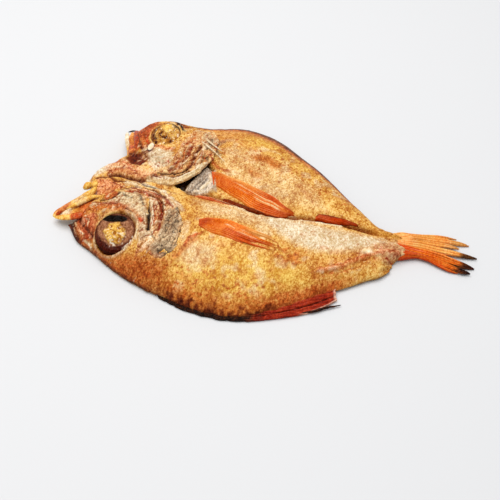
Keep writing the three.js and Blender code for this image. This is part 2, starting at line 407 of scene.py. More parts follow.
FLOAT, COLOR = "NodeSocketFloat", "NodeSocketColor"
BLACK, GREY, WHITE = (0, 0, 0, 1), (0.5, 0.5, 0.5, 1), (1, 1, 1, 1)
# how fine each pattern is, in bumps to the metre
CLOUDS, BLOTCHES, SPECKLE = 80.0, 360.0, 1000.0
RAGS, WET_SPOTS = 560.0, 260.0
WRINKLES, FINE_GRAIN, SCALE_POCKETS = 300.0, 1500.0, 520.0


def mottle_group():
    """Roasted colour: three tones in large clouds, small blotches and fine speckle."""
    group, g, given, result = new_group(
        "mottle",
        [("Dark", COLOR, BLACK), ("Middle", COLOR, GREY), ("Light", COLOR, WHITE),
         ("Scale", FLOAT, 1.0), ("Contrast", FLOAT, 1.0)],
        [("Color", COLOR)])
    place = g.put("ShaderNodeTexCoord").outputs["Object"]
    where = g.put("ShaderNodeMapping", {"Vector": place, "Scale": (1.35, 0.8, 1.0)}).outputs[0]
    scale = given.outputs["Scale"]
    clouds = g.noise(where, g.math("MULTIPLY", scale, CLOUDS), 2.0)
    blotches = g.noise(where, g.math("MULTIPLY", scale, BLOTCHES), 5.0, 0.75, 0.6)
    speckle = g.noise(where, g.math("MULTIPLY", scale, SPECKLE), 3.0, 0.75, 0.5)
    total = g.math("ADD", g.math("MULTIPLY", clouds, 0.5), g.math("MULTIPLY", blotches, 0.9))
    total = g.math("ADD", total, g.math("MULTIPLY", speckle, 1.2))
    total = g.math("SUBTRACT", total, 1.3)
    total = g.math("MULTIPLY", total, given.outputs["Contrast"])
    value = g.math("ADD", total, 0.5)
    color = g.mix(g.spread(value, 0.0, 0.5), given.outputs["Dark"], given.outputs["Middle"])
    color = g.mix(g.spread(value, 0.5, 1.0), color, given.outputs["Light"])
    g.tree.links.new(color, result.inputs["Color"])
    return group


def zone_group():
    """Lays one colour over another where a mask says, with a ragged, blotchy edge."""
    group, g, given, result = new_group(
        "zone",
        [("Base", COLOR, BLACK), ("Over", COLOR, WHITE), ("Mask", FLOAT, 0.0),
         ("Ragged", FLOAT, 1.0), ("Scale", FLOAT, 1.0)],
        [("Color", COLOR), ("Amount", FLOAT)])
    where = g.put("ShaderNodeTexCoord").outputs["Object"]
    scale = given.outputs["Scale"]
    rough = g.noise(where, g.math("MULTIPLY", scale, RAGS), 5.0, 0.78, 0.4)
    push = g.math("MULTIPLY", g.math("SUBTRACT", rough, 0.5), given.outputs["Ragged"])
    mask = given.outputs["Mask"]
    room = g.math("MULTIPLY", g.math("MULTIPLY", mask, g.math("SUBTRACT", 1.25, mask)), 4.0)
    amount = g.math("ADD", mask, g.math("MULTIPLY", push, room), clamp=True)
    g.tree.links.new(g.mix(amount, given.outputs["Base"], given.outputs["Over"]), result.inputs["Color"])
    g.tree.links.new(amount, result.inputs["Amount"])
    return group


def grain_group():
    """Height of dried skin: shrunken wrinkles, scale pockets and fine grain."""
    group, g, given, result = new_group(
        "grain", [("Scale", FLOAT, 1.0), ("Scales", FLOAT, 0.5)], [("Height", FLOAT)])
    where = g.put("ShaderNodeTexCoord").outputs["Object"]
    scale = given.outputs["Scale"]
    wrinkles = g.noise(where, g.math("MULTIPLY", scale, WRINKLES), 5.0, 0.7, 0.8)
    fine = g.noise(where, g.math("MULTIPLY", scale, FINE_GRAIN), 3.0, 0.7)
    stretched = g.put("ShaderNodeMapping", {"Vector": where, "Scale": (0.8, 1.25, 1.0)}).outputs[0]
    pocket_scale = g.math("MULTIPLY", scale, SCALE_POCKETS)
    cells = g.put("ShaderNodeTexVoronoi", {"Vector": stretched, "Scale": pocket_scale},
                  feature="SMOOTH_F1").outputs[0]
    pockets = g.math("MULTIPLY", cells, given.outputs["Scales"])
    total = g.math("ADD", wrinkles, g.math("MULTIPLY", fine, 0.35))
    g.tree.links.new(g.math("ADD", total, pockets), result.inputs["Height"])
    return group


MOTTLE, ZONE, GRAIN = mottle_group(), zone_group(), grain_group()


def fish_material(name, tones, zones, roughness, depth, scale=1.0, contrast=2.4, scales=0.0, coat=0.08,
                  specular=0.03):
    """A dried and roasted surface.

    tones are its dark, middle and light one. zones are (mask, dark tone, light tone, raggedness), laid on
    in order. depth is that of its relief in millimetres.
    """
    material = bpy.data.materials.new(name)
    material.use_nodes = True
    g = Graph(material.node_tree)
    g.tree.nodes.clear()

    def grouped(tree, inputs):
        return g.put("ShaderNodeGroup", inputs, node_tree=tree)

    def tones_node(dark, middle, light):
        return grouped(MOTTLE, {"Dark": tone(dark), "Middle": tone(middle), "Light": tone(light),
                                "Scale": scale, "Contrast": contrast}).outputs["Color"]

    color = tones_node(*tones)
    for mask, dark, light, ragged in zones:
        over = tones_node(dark, blend_code(dark, light), light)
        amount = g.put("ShaderNodeAttribute", attribute_name=mask).outputs["Fac"]
        color = grouped(ZONE, {"Base": color, "Over": over, "Mask": amount, "Ragged": ragged,
                               "Scale": scale}).outputs["Color"]
    where = g.put("ShaderNodeTexCoord").outputs["Object"]
    wet = g.noise(where, WET_SPOTS * scale, 3.0)
    rough = g.math("ADD", g.math("MULTIPLY", g.math("SUBTRACT", wet, 0.5), 0.5), roughness)
    height = grouped(GRAIN, {"Scale": scale, "Scales": scales}).outputs["Height"]
    bump = g.put("ShaderNodeBump", {"Height": height, "Strength": 1.0, "Distance": depth * MM})
    shader = g.put("ShaderNodeBsdfPrincipled", {
        "Base Color": color, "Roughness": rough, "Normal": bump.outputs[0],
        "Specular IOR Level": specular, "Coat Weight": coat, "Coat Roughness": 0.12})
    g.put("ShaderNodeOutputMaterial", {"Surface": shader.outputs[0]})
    return material


def blend_code(first, second):
    """The display code halfway between two."""
    pairs = [(int(first[k:k + 2], 16), int(second[k:k + 2], 16)) for k in (1, 3, 5)]
    return "#" + "".join(f"{(a + b) // 2:02x}" for a, b in pairs)


# colours on the skin, in the order that they are laid on: mask, dark tone, light tone, raggedness
ZONES = [
    ("gold", "#c47e1e", "#f6d26e", 0.8),
    ("pale", "#c8a472", "#fbf0d6", 0.9),
    ("grey", "#6e5840", "#d2bc97", 1.2),
    ("pink", "#b84e22", "#ffbe8e", 1.0),
    ("brown", "#94400c", "#e08838", 1.3),
    ("red", "#701602", "#d8521c", 1.0),
    ("silver", "#84705c", "#efdfca", 0.9),
    ("dark", "#0a0301", "#30110a", 0.6),
    # glint is painted highlight: pale specks and lines that stand in for light caught on wet skin
    ("glint", "#f6d29a", "#fff3d8", 0.3),
]

SKIN = fish_material("smoked_skin", ("#ac5f18", "#dca146", "#f6d080"), ZONES,
                     roughness=0.46, depth=0.45, contrast=2.7, scales=0.4)
FLESH = fish_material(
    "smoked_flesh", ("#c08a55", "#e0b78a", "#f6dcb8"),
    [("cavity", "#5e4a42", "#b9a699", 0.8), ("bone", "#e3cba0", "#fff1d6", 0.6),
     ("red", "#7a3018", "#b8683c", 1.0), ("dark", "#2a120a", "#54301c", 0.8)],
    roughness=0.5, depth=0.35, contrast=2.0)
COVER = fish_material("gill_cover_skin", ("#a8682e", "#dca66c", "#fddfa8"), ZONES,
                      roughness=0.42, depth=0.45, scale=1.1)
JAW = fish_material("amber_bone", ("#c65a0c", "#ec9434", "#ffdb85"), ZONES,
                    roughness=0.3, depth=0.15, coat=0.2, scale=0.8)
FIN = fish_material(
    "fin_rays", ("#d8540a", "#f07e1e", "#ffa840"),
    [("tan", "#dc9438", "#fbc878", 1.0), ("pink", "#d24e24", "#f59468", 0.9),
     ("red", "#b42e04", "#ee5c1a", 0.8), ("streak", "#f6b05a", "#fff4d4", 0.5),
     ("dark", "#100402", "#3c1a14", 0.6)],
    roughness=0.36, depth=0.12, scale=1.1, contrast=1.8)
DARK_FIN = fish_material(
    "charred_fin", ("#6a2408", "#a04818", "#c87c38"),
    [("red", "#7c1404", "#b83c1e", 0.8), ("tan", "#9c5420", "#d89044", 1.0),
     ("dark", "#0a0402", "#2e140a", 0.9), ("streak", "#e8a080", "#ffe6cc", 0.4)],
    roughness=0.5, depth=0.3, scale=1.1)


# ---------------------------------------------------------------- body


EYE = {"right": (-72.2, -38.9, 11.3, 11.2), "left": (-71.4, 36.6, 8.4, 10.6)}  # x, y and both radii
EYE_LEAN = {"right": -22, "left": -4}  # degrees that each eye leans, less than 0 being to the fish's right


def mark_right_head(skin):
    """The right side of the head: snout, cheek, mouth corner and the folds of the throat."""
    skin.fill(1.6, 0.3, [(-100.5, -27), (-93.5, -31), (-88, -27), (-83.5, -41), (-89.5, -44.5), (-97, -38)],
              red=0.55, pink=0.8)
    skin.draw(3.2, 0, [(-92, -44), (-84, -48.5), (-76, -52.5), (-68, -55.5)], brown=0.75)
    skin.draw(0.8, 0.3, [(-91, -41), (-84.5, -46.5), (-77, -50.8)], pale=0.45)
    skin.draw(4.0, 0, [(-98, -29), (-92, -34), (-87, -41)], red=0.85)
    skin.draw(1.0, -0.7, [(-97, -30), (-94.5, -33), (-92.5, -35.6)], dark=0.9)
    skin.draw(1.1, -0.7, [(-90.5, -37), (-88, -38.6), (-84.5, -41.5)], dark=0.8, red=0.9)
    skin.draw(2.0, 0.4, [(-105, -28), (-100.5, -34.5), (-97.5, -39.5), (-94, -43)], dark=0.9, red=1.0)
    skin.draw(1.2, -0.4, [(-104, -26.5), (-99, -26), (-95.5, -25)], dark=0.8, red=0.9)
    skin.draw(0.9, -0.5, [(-95, -42), (-88.6, -45.6), (-83, -48.6)], dark=0.6, red=0.9)
    skin.pale_highlight_line(0.55, 0.5, [(-102.5, -28.5), (-98.5, -33.5), (-93.5, -39), (-88, -43.5), (-82.5, -47)])
    skin.pale_highlight_line(0.5, 0.3, [(-94, -29.4), (-91, -32.4), (-89.6, -36)], 0.8)
    skin.draw(3.0, 0.2, [(-95, -25.5), (-88, -25), (-80, -24.4), (-72, -25.4)], brown=0.8, red=0.35)
    skin.draw(0.6, -0.5, [(-96, -22), (-90, -21.4), (-84, -23), (-77, -22.6)], red=0.9, dark=0.4)
    skin.draw(0.6, 0.5, [(-94, -23.4), (-88, -23), (-82, -24.6)], pale=0.6)
    skin.fill(1.4, 0.3, [(-92, -24), (-84, -21.5), (-78.5, -13.5), (-70.5, -13), (-64, -17), (-60, -24),
                         (-56, -33), (-53, -40), (-57, -44), (-61, -36), (-68, -28), (-77, -25)],
              pale=0.7, grey=0.3)
    skin.draw(0.6, -0.3, [(-77, -15), (-74.4, -17), (-71, -17.6)], dark=0.7)
    skin.draw(0.5, -0.3, [(-70.5, -25), (-66, -28.6), (-61.6, -33)], dark=0.8)
    skin.draw(0.7, 0.3, [(-71.5, -26.4), (-66.6, -30.4), (-61, -37), (-59.5, -42)], pale=0.9)
    skin.draw(1.3, -0.4, [(-61, -30.5), (-60, -31.5)], red=1.0)
    skin.draw(0.6, -0.4, [(-67.5, -15), (-65, -18), (-62.6, -21.5)], dark=0.7)
    skin.fill(0.9, -0.6, [(-88.5, -15), (-84, -12.5), (-79.6, -14.5), (-80.6, -19), (-86.5, -19.4)],
              red=0.8)
    skin.draw(0.7, -0.9, [(-88, -20), (-82, -19), (-79.4, -14.6)], dark=0.85)
    skin.fill(1.8, 0.2, [(-98, -3), (-88.5, -3.6), (-79, -8.5), (-84, -13.5), (-92, -17), (-96.5, -13)],
              pink=0.8)
    skin.draw(1.5, 0.9, [(-80, -5.4), (-69.5, -3.6), (-59, -6.5), (-49.5, -13.2), (-41.6, -19.6)],
              pale=0.85)
    skin.draw(0.7, -1.0, [(-80, -11.5), (-71, -7.4), (-61.5, -8.6), (-53.5, -13.6)], dark=0.75, red=0.7)
    skin.draw(0.9, -0.6, [(-76, -12.5), (-65, -12.8), (-56, -17)], red=0.85)
    skin.draw(1.3, 0.5, [(-74, -9.6), (-64, -10.8), (-55, -15.2)], pink=0.8)
    skin.fill(5.0, 0, [(-78, -52), (-60, -50), (-45, -50.5), (-37, -50), (-38, -64), (-52, -62),
                       (-66, -58)], brown=0.85)
    skin.draw(1.1, -0.3, [(-66, -54), (-56, -55), (-46, -57)], red=0.5)
    x, y = skin.x, skin.y
    head = smooth(-y, 2, 5) * (1 - smooth(x, -56, -46))
    throat = head * smooth(y, -16, -10)
    snout = smooth(-y, 19, 23) * (1 - smooth(x, -88, -82))
    nape = smooth(-y, 46, 52) * (1 - smooth(x, -50, -34))
    skin.crackle(throat, 2.6, -12, 341, red=0.9, dark=0.45)
    skin.crackle(snout, 2.4, -50, 343, red=1.0, dark=0.4)
    skin.crackle(head * (1 - throat) * (1 - snout) * (1 - nape), 2.2, 40, 345, brown=0.8, dark=0.45)
    skin.crackle(0.85 * nape, 1.8, -30, 347, light=0.15, red=0.6, brown=0.7, dark=0.2)
    skin.paint(0.4 * nape, red=1.0)
    skin.pale_highlight_line(0.7, 0.5, [(-72, -8.4), (-62, -10), (-53.4, -15.4)], 0.9)
    skin.pale_highlight_line(0.5, 0.4, [(-80, -8.4), (-71, -5.4), (-61, -7.4), (-52, -13)], 0.9)
    skin.glints(head * (0.5 + 0.5 * snout), 349)


def mark_left_head(skin):
    """The left side of the head, its mouth and the chin."""
    skin.fill(1.5, 0.4, [(-98, 44), (-92, 52), (-83, 54), (-79, 47), (-80, 31), (-85, 30), (-90, 36)],
              red=0.75, pink=0.5)
    skin.fill(1.6, 0.3, [(-77, 57), (-69, 56), (-62, 50), (-64, 45), (-71, 51)], brown=0.95, dark=0.4)
    skin.fill(1.4, 0.2, [(-86, 50), (-82, 44), (-80, 36), (-84, 34), (-88, 42)], red=0.85, dark=0.15)
    skin.draw(1.1, -0.9, [(-95.5, 45.4), (-88, 32.5), (-80.5, 21.6), (-73.4, 12.6)], dark=0.7, red=0.9)
    skin.draw(1.5, 0.6, [(-92, 51), (-84.5, 54), (-78, 55), (-71, 53), (-65.5, 47), (-63.6, 44)], dark=1.0)
    skin.fill(1.2, 0.2, [(-92, 40), (-84, 36), (-79, 24), (-82, 18), (-88, 22), (-92, 30)],
              red=0.6, brown=0.7)
    skin.draw(0.9, 0.3, [(-84.6, 26), (-81, 20), (-79, 15)], gold=0.8)
    skin.fill(1.1, -1.6, [(-87.5, 14), (-85, 19), (-79, 17), (-73.5, 11.5), (-76, 7.5), (-83, 8.6)],
              dark=0.75, red=1.0)
    skin.fill(1.4, 0.5, [(-77, 20.5), (-70, 22.5), (-61.5, 20.5), (-59, 10), (-66.5, 5.6), (-71.6, 9.5)],
              pale=0.95)
    for k in range(5):
        start = -75 + 2.2 * k
        skin.draw(0.45, -0.3, [(start, 19 - 0.4 * k), (start + 3.6, 11.4 - 0.5 * k)], grey=0.7)
    skin.draw(1.6, 0.5, [(-79, 23), (-71, 24.2), (-63, 23.4)], pink=0.8, brown=0.5)
    skin.fill(1.6, 0.3, [(-107, -2), (-107, 6), (-98, 9.4), (-92, 8.4), (-94, 3.6), (-99, 0.4)], pale=1.0)
    skin.fill(2.4, 0.2, [(-97, 6), (-96, 11), (-88, 12.4), (-80, 7), (-66, 5), (-64, 1.5), (-72, -1),
                         (-92, 1)], pink=0.55, pale=0.3)
    skin.draw(0.8, -0.9, [(-99.6, -2), (-91, -1.6), (-85, -4.5), (-79.6, -4.8)], dark=0.7, red=0.9)
    skin.draw(0.9, -1.3, [(-92, 0), (-85, -0.6), (-78.5, -1.5), (-71.5, -1.4), (-67.5, 0), (-64, 2.6)],
              dark=0.8, red=0.9)
    skin.draw(0.7, -0.8, [(-73, -2.6), (-66.5, -5.4), (-61, -6), (-54, -5)], dark=0.75)
    skin.draw(1.0, 0.4, [(-96, 8.4), (-88, 7.6), (-80, 4.4)], pale=0.5)
    skin.draw(0.8, -0.6, [(-95, 9.6), (-87, 9.4), (-79.6, 6)], red=0.7)
    skin.draw(1.0, 0.3, [(-90, 3.4), (-82, 2.4), (-74, 1.4)], pale=0.4, brown=0.5)
    skin.draw(0.6, -0.5, [(-93, 3.4), (-84, 4.4), (-76, 3)], red=0.7)
    skin.draw(1.6, -0.6, [(-82, 34), (-80, 29), (-77, 26), (-72.4, 25)], red=0.95)
    skin.draw(2.4, -0.4, [(-76, 24.6), (-75.2, 20.4)], red=0.9, dark=0.8)
    x, y = skin.x, skin.y
    head = smooth(y, -2, 0) * (1 - smooth(x, -60, -50))
    chin = head * (1 - smooth(y, 8, 12)) * smooth(x, -102, -94)
    brow = head * smooth(y, 25, 30)
    skin.draw(0.7, -0.5, [(-104, 7), (-98, 10.4), (-91, 11)], red=0.9)
    skin.crackle(chin, 2.4, 8, 351, light=0.5, red=0.95, dark=0.25)
    skin.pale_highlight_line(0.5, 0.2, [(-100, 4), (-92, 5.6), (-84, 5)], 0.8)
    skin.crackle(brow, 2.4, 60, 353, light=0.3, red=0.9, dark=0.2)
    skin.crackle(head * (1 - chin) * (1 - brow), 2.0, 70, 355, brown=0.6)
    skin.glints(head, 357)


def mark_gill_chamber(skin):
    """The open gill chamber behind the left cover, sunk and painted near-black as shade, with a silver
    lining.
    """
    chamber = [(-54, 1.6), (-50.5, 0), (-45, -1.6), (-38.5, -0.6), (-34, 1.5), (-32, 5), (-33.4, 12),
               (-35.6, 16), (-41, 20), (-47, 16), (-52, 9)]
    # The sunk chamber is painted near-black: painted shade under the cover's rim.
    depth = patch(skin.wx, skin.wy, chamber, 0.9)
    skin.height -= 3.6 * depth
    skin.clear(depth, "pale", "pink", "gold", "brown", "red", "grey")
    skin.paint(depth, dark=1.0)
    lining = patch(skin.wx, skin.wy, [(-48, -0.8), (-46.4, 3.6), (-43.2, 10.6), (-39.8, 16.9), (-34.6, 15),
                                      (-32.4, 9), (-30.6, 3), (-38, -1)], 1.0)
    skin.clear(lining, "dark")
    skin.paint(lining, silver=0.95)
    skin.height += 2.6 * lining
    for k in range(3):
        skin.draw(0.5, -0.5, [(-43.2 + 3.2 * k, 1.4 + k), (-39.6 + 2.2 * k, 7.6 + k)], dark=0.55, brown=0.6)
    skin.draw(0.7, 0.4, [(-38.6, 3), (-35, 8), (-36, 12.4)], glint=0.75)
    skin.draw(0.5, 0.4, [(-42, 0.6), (-36.6, 2)], glint=0.6)
    skin.pale_highlight_line(0.6, 0.5, [(-30.6, 3), (-31.8, 8), (-34.6, 14)], 0.7)
    skin.draw(1.0, 0.3, [(-38.5, 20.5), (-33, 17.2), (-27.5, 16.6)], red=0.6, brown=0.7)


def mark_flanks(skin):
    """Colour and relief of both flanks, from the gill covers to the tail."""
    x, y = skin.x, skin.y
    share = side_share(x, y)
    skin.fill(7, 0, [(-38, -50), (-22, -41), (0, -37), (22, -33), (30, -40), (14, -54), (-13, -63),
                     (-32, -61)], gold=0.95)
    skin.fill(7, 0, [(-24, 40), (-30, 60), (-12, 58), (8, 44), (24, 32), (12, 34), (-4, 46)], gold=0.8)
    skin.fill(3.5, 0.3, [(-8, -8), (4, -5), (19, -3.4), (36, -4), (60, -1), (68, -2.4), (58, -10),
                         (44, -17), (28, -22), (14, -19.5)], pale=0.95)
    skin.fill(6, 0, [(-38, -8), (-14, -6), (8, -8), (14, -17), (-4, -16), (-30, -17)], pale=0.5)
    skin.fill(4, 0, [(-36, 22), (-20, 12), (6, 6), (30, 8), (22, 22), (-6, 34), (-26, 40)], pale=0.25)
    skin.draw(3.6, 0, [(-15, 33.5), (-9, 34.4), (-4, 31.5)], brown=0.95)
    skin.draw(2.6, 0, [(-15.5, 20.5), (-10.5, 18.5)], brown=0.7)
    skin.draw(2.5, 0, [(-27, 46), (-20, 40)], brown=0.4)
    skin.draw(2.2, 0, [(12, 20), (20, 14)], brown=0.4)
    skin.draw(3.0, 0.1, [(20, -27), (34, -27), (46, -25)], brown=0.35)
    skin.draw(1.0, 0.4, [(-33.5, -41.5), (-32, -36), (-27, -31)], red=0.6, brown=0.8)
    skin.draw(2.0, 0.2, [(-36, -47), (-33, -42), (-29, -34)], brown=0.8)
    skin.draw(1.4, 0.3, [(-37, 41), (-41, 33), (-36, 27)], grey=0.8)
    skin.draw(1.8, 0.2, [(-48, 44), (-43, 37)], grey=0.9)
    tear = [(36, -31.5), (41, -28.6), (47, -24.5), (53, -19), (59, -14), (66, -9.4), (72, -7)]
    skin.draw(4.8, 0.7, tear, brown=0.5)
    skin.draw(1.4, 0.9, tear, pink=0.8)
    torn = stroke(x, y, tear, 4.8)
    skin.crackle(torn, 2.6, 38, 361, red=0.7, brown=0.9)
    root_skin = [(59, -6), (64, -3), (72, 1.6), (79, -1), (79, -10), (71, -11), (65, -15), (60, -13)]
    skin.clear(0.7 * patch(x, y, root_skin, 3), "brown", "gold")
    skin.fill(3, 0.4, root_skin, gold=0.4, pale=0.55, pink=0.22)
    skin.fill(2.5, 0, [(54, 0), (60, 8), (74, 9), (80, 2), (66, 0)], gold=0.8, brown=0.35)
    skin.crackle(smooth(x, 58, 62) * smooth(y, -14, -11), 2.2, 20, 363, red=0.5)
    skin.draw(0.5, -0.4, [(66, -13), (70, -12), (74, -10.6)], red=0.9)
    skin.draw(1.5, 0.8, [(55.4, -13.2), (57.8, -12.6)], glint=1.0)
    skin.glints(torn * 0.8, 365)
    crumbs = smooth(noise(x, y, 2.4, 45) + 0.6 * noise(x, y, 1.1, 46), -0.1, 0.4)
    crusted = [(5, -27), (11.5, -22), (24, -25), (28.5, -31), (21, -35.5), (11, -34.5)]
    crust = patch(skin.wx, skin.wy, crusted, 2.2)
    skin.fill(5, 0, [(-50, 40), (-46, 62), (-34, 67), (-22, 60), (-30, 44), (-42, 34)], brown=0.45)
    skin.paint(crust * crumbs, brown=0.95)
    skin.height += 0.3 * crust * crumbs
    skin.paint(smooth(noise(x, y, 1.3, 47) + 0.5 * noise(x, y, 0.7, 48), 0.55, 0.85), brown=0.5)
    skin.fill(4, 0, [(-34, -38), (-18, -36), (-16, -46), (-27, -52), (-33, -48)], pale=0.45)
    on_flank = smooth(x, -46, -34) * (1 - smooth(x, 58, 70))
    blotches = smooth(noise(x, y, 5.5, 201) + 0.5 * noise(x, y, 2.4, 202), 0.3, 0.8)
    skin.paint(blotches * on_flank * smooth(np.abs(share), 0.3, 0.6), brown=0.5)
    clouds = smooth(noise(x, y, 6.5, 203) + 0.5 * noise(x, y, 2.8, 204), 0.3, 0.8)
    skin.paint(clouds * on_flank, pale=0.4)
    lip_path = [(-30, -3.6), (-17.5, -5), (-5, -7), (4, -6.6), (12, -4.6), (24, -1.6), (40, 0.2)]
    lip = stroke(x, y, lip_path, 1.3)
    skin.height += 0.9 * lip * (1 + 0.6 * noise(x, y, 2.6, 31))
    skin.paint(lip, pale=0.7)
    # The crease is sunk and painted darker brown and red there: painted shade in the valley between the two
    # sides.
    valley = np.exp(-((y - crease_y(x)) / 1.2) ** 2) * smooth(x, -48, -36) * (1 - smooth(x, 50, 64))
    skin.height -= 2.6 * valley
    skin.paint(valley, brown=0.9, red=0.55, dark=0.35)
    burnt = -share + 0.03 * noise(x, y, 2.2, 41) + 0.03 * noise(x, y, 0.9, 42)
    right_rim = smooth(burnt, 0.95, 1.0) * smooth(x, -52, -30) * (1 - smooth(x, 12, 26))
    skin.paint(right_rim, dark=0.72, red=0.8)
    skin.paint(smooth(burnt, 0.8, 0.95) * smooth(x, -60, -34) * (1 - smooth(x, 44, 60)), brown=0.9)
    skin.paint(smooth(burnt, 0.86, 0.96) * smooth(x, 2, 16) * (1 - smooth(x, 42, 50)), red=0.4, pink=0.4)
    singed = smooth(noise(x, y, 1.5, 43) + 0.7 * noise(x, y, 0.8, 44), 0.5, 0.8)
    skin.paint(singed * smooth(-share, 0.6, 0.85) * smooth(x, -60, -40) * (1 - smooth(x, 0, 30)),
               brown=1.0, red=0.3)
    skin.paint(smooth(-share, 0.93, 0.985) * (1 - smooth(x, -50, -30)), brown=0.9, red=0.5)
    skin.paint(smooth(-share, 0.985, 0.999) * (1 - smooth(x, -50, -30)), dark=0.8)
    skin.paint(singed * smooth(share, 0.1, 0.5) * smooth(x, -60, -40) * (1 - smooth(x, 40, 60)), brown=0.8)
    skin.paint(smooth(share, 0.8, 0.88) * smooth(x, -62, -48), brown=1.0, red=0.2)
    skin.paint(smooth(share + 0.015 * noise(x, y, 4, 49), 0.87, 0.92) * smooth(x, -66, -54), dark=0.75)
    skin.paint(smooth(share, 0.8, 0.93) * smooth(x, -56, -40), brown=0.45)
    skin.paint(smooth(x, 66, 74) * smooth(y, 0, 3), brown=0.6)


def mark_sockets(skin):
    """Both eye sockets: a sunken pit painted dark as shade, with a thin raised rim."""
    for side, (cx, cy, wide, long) in EYE.items():
        away = np.hypot((skin.x - cx) / wide, (skin.y - cy) / long)
        pit = 1 - smooth(away, 0.86, 1.02)
        skin.height -= 3.2 * pit
        rim = np.exp(-((away - 1.06) / 0.05) ** 2)
        skin.height += 0.6 * rim
        skin.clear(1 - smooth(away, 0.9, 1.03), *skin.masks)
        skin.clear(rim, "red", "dark", "glint")
        if side == "right":
            outer = smooth(-skin.y, 34, 46)
            skin.paint(rim, pale=0.2 + 0.75 * outer)
            halo = np.exp(-((away - 1.2) / 0.12) ** 2) * smooth(skin.y, -38, -30)
            skin.paint(halo, brown=0.65, grey=0.5)
        # The pit is painted dark over red: painted shade in the gap round the eyeball.
        skin.paint(pit, dark=0.72, red=1.0)


# where the body sinks a little under each gill cover
UNDER_RIGHT_COVER = [(-60, -15), (-51, -16), (-44.5, -22), (-41, -30), (-40.6, -38), (-45, -46),
                     (-53, -46), (-56.5, -36), (-59, -24)]
UNDER_LEFT_COVER = [(-62, 4), (-52, 3.4), (-46.4, 8), (-42.4, 18), (-41.4, 30), (-44, 40), (-50, 45),
                    (-56, 43), (-56.5, 28), (-59, 12)]


def top_of_body(x, y):
    """The skin side: where its points are raised to, and their masks."""
    skin = Surface(x, y)
    head = 1 - smooth(x, -50, -34)
    mark_flanks(skin)
    mark_right_head(skin)
    mark_left_head(skin)
    mark_gill_chamber(skin)
    mark_sockets(skin)
    for outline in (UNDER_RIGHT_COVER, UNDER_LEFT_COVER):
        skin.height -= 1.6 * patch(x, y, outline, 1.5)
    inward = 1 - smooth(np.abs(side_share(x, y)), 0.86, 1.0)
    lumps = 0.5 * fractal(x, y, 11, 11) + 0.24 * fractal(x, y, 3.4, 21) + 0.1 * fractal(x, y, 1.3, 27, 2)
    lumps += head * 0.45 * fractal(x * 0.7, y, 2.6, 33)
    return flank_z(x, y) + skin.height * (0.35 + 0.65 * inward) + lumps * (0.3 + 0.7 * inward), skin.masks


def bottom_of_body(x, y):
    """The cut side: flesh, the backbone on the left half, its groove on the right, ribs and belly cavity."""
    share = side_share(x, y)
    side = np.abs(share)
    length = smooth(x, -62, -48) * (1 - smooth(x, 8, 44))
    cavity = (1 - smooth(side, 0.2, 0.4)) * length
    z = 5.2 * cavity
    zigzag = np.abs(((side - 0.58) * 14) % 4 - 2)
    chevron = np.abs(np.sin((x + 5 * zigzag) / 3.2))
    flesh = smooth(x, -52, -42) * (1 - cavity)
    z += 0.5 * flesh * (1 - chevron) ** 2
    ribs = cavity * smooth(np.sin((x + 14 * side) / 1.35), 0.3, 0.9) * smooth(side, 0.05, 0.12)
    z -= 0.9 * ribs
    spine_line = np.exp(-((share - 0.5) / 0.04) ** 2) * smooth(x, -60, -52)
    vertebra = 0.75 + 0.25 * np.cos(x * 2 * math.pi / 5.2)
    z += 0.9 * np.exp(-((share - 0.5) / 0.1) ** 2) * smooth(x, -60, -52)
    z -= 0.8 * spine_line * vertebra
    channel = np.exp(-((share + 0.5) / 0.035) ** 2) * smooth(x, -60, -52)
    z += 1.0 * channel
    skull = 1 - smooth(x, -62, -50)
    hollow = np.clip(fractal(x, y, 9, 71) * 1.6, -0.3, 1)
    z += skull * (1.2 + 2.2 * hollow) * (1 - smooth(side, 0.8, 0.97))
    z += 0.15 + 0.25 * (fractal(x, y, 5, 77) + 0.8)
    z += 0.7 * smooth(side, 0.93, 1.0)
    masks = {
        "cavity": cavity * 0.95, "bone": np.maximum.reduce([spine_line * vertebra, ribs, 0.4 * skull]),
        "red": np.maximum(0.5 * skull * smooth(hollow, 0.1, 0.7), 0.8 * channel),
        "dark": np.maximum(0.55 * skull * smooth(hollow, 0.5, 1), 0.6 * smooth(side, 0.975, 1)),
    }
    return np.clip(z, 0, None), masks


def make_body():
    """Both sides of the fish in one piece, skin above and flesh below."""
    mesh, s, t, top = blank("body", 180, 104, fine=True)
    across = 2 * t - 1
    start = front_x(across) + 0.5 * noise(across * 40, s * 0, 3.0, 3)
    end = ROOT_X + 1.4 + 1.2 * noise(across * 12, s * 0, 1.0, 4)
    end = end + 3.6 * np.exp(-((across + 0.2) / 0.24) ** 2)
    end -= 3.2 * smooth(-across, 0.45, 0.75)
    crowding = 0.64 + 0.36 * s  # more points at the head, which has more folds
    x = start + (end - start) * s * crowding
    middle = crease_y(x)
    edge = np.where(across < 0, right_edge(x), left_edge(x))
    ragged = 1 + 0.006 * np.abs(across) ** 6 * noise(x, across * 9, 2.4, 2)
    y = middle + np.abs(across) * (edge - middle) * ragged
    upper, upper_masks = top_of_body(x, y)
    lower, lower_masks = bottom_of_body(x, y)
    rolled = 1 - smooth(s, 0, 0.035)
    upper = upper - 0.45 * rolled ** 2 * (upper - lower)
    beyond_tail = smooth(-y, 8, 12)
    upper = upper - (0.25 + 0.55 * beyond_tail) * smooth(s, 0.97, 1) ** 2 * (upper - lower)
    z = np.where(top, np.maximum(upper, lower + 0.6), lower)
    masks = {}
    for name in set(upper_masks) | set(lower_masks):
        masks[name] = np.where(top, upper_masks.get(name, 0 * x), lower_masks.get(name, 0 * x))
    shape(mesh, np.stack([x, y, z], 1), masks)
    piece("body_skin_and_flesh", mesh, "skin", [SKIN, FLESH], "body")
    normals = np.empty(len(mesh.polygons) * 3, np.float32)
    mesh.polygons.foreach_get("normal", normals)
    faces_down = (normals.reshape(-1, 3)[:, 2] < -0.2).astype(np.int32)
    mesh.polygons.foreach_set("material_index", faces_down)


# ---------------------------------------------------------------- plates: gill covers


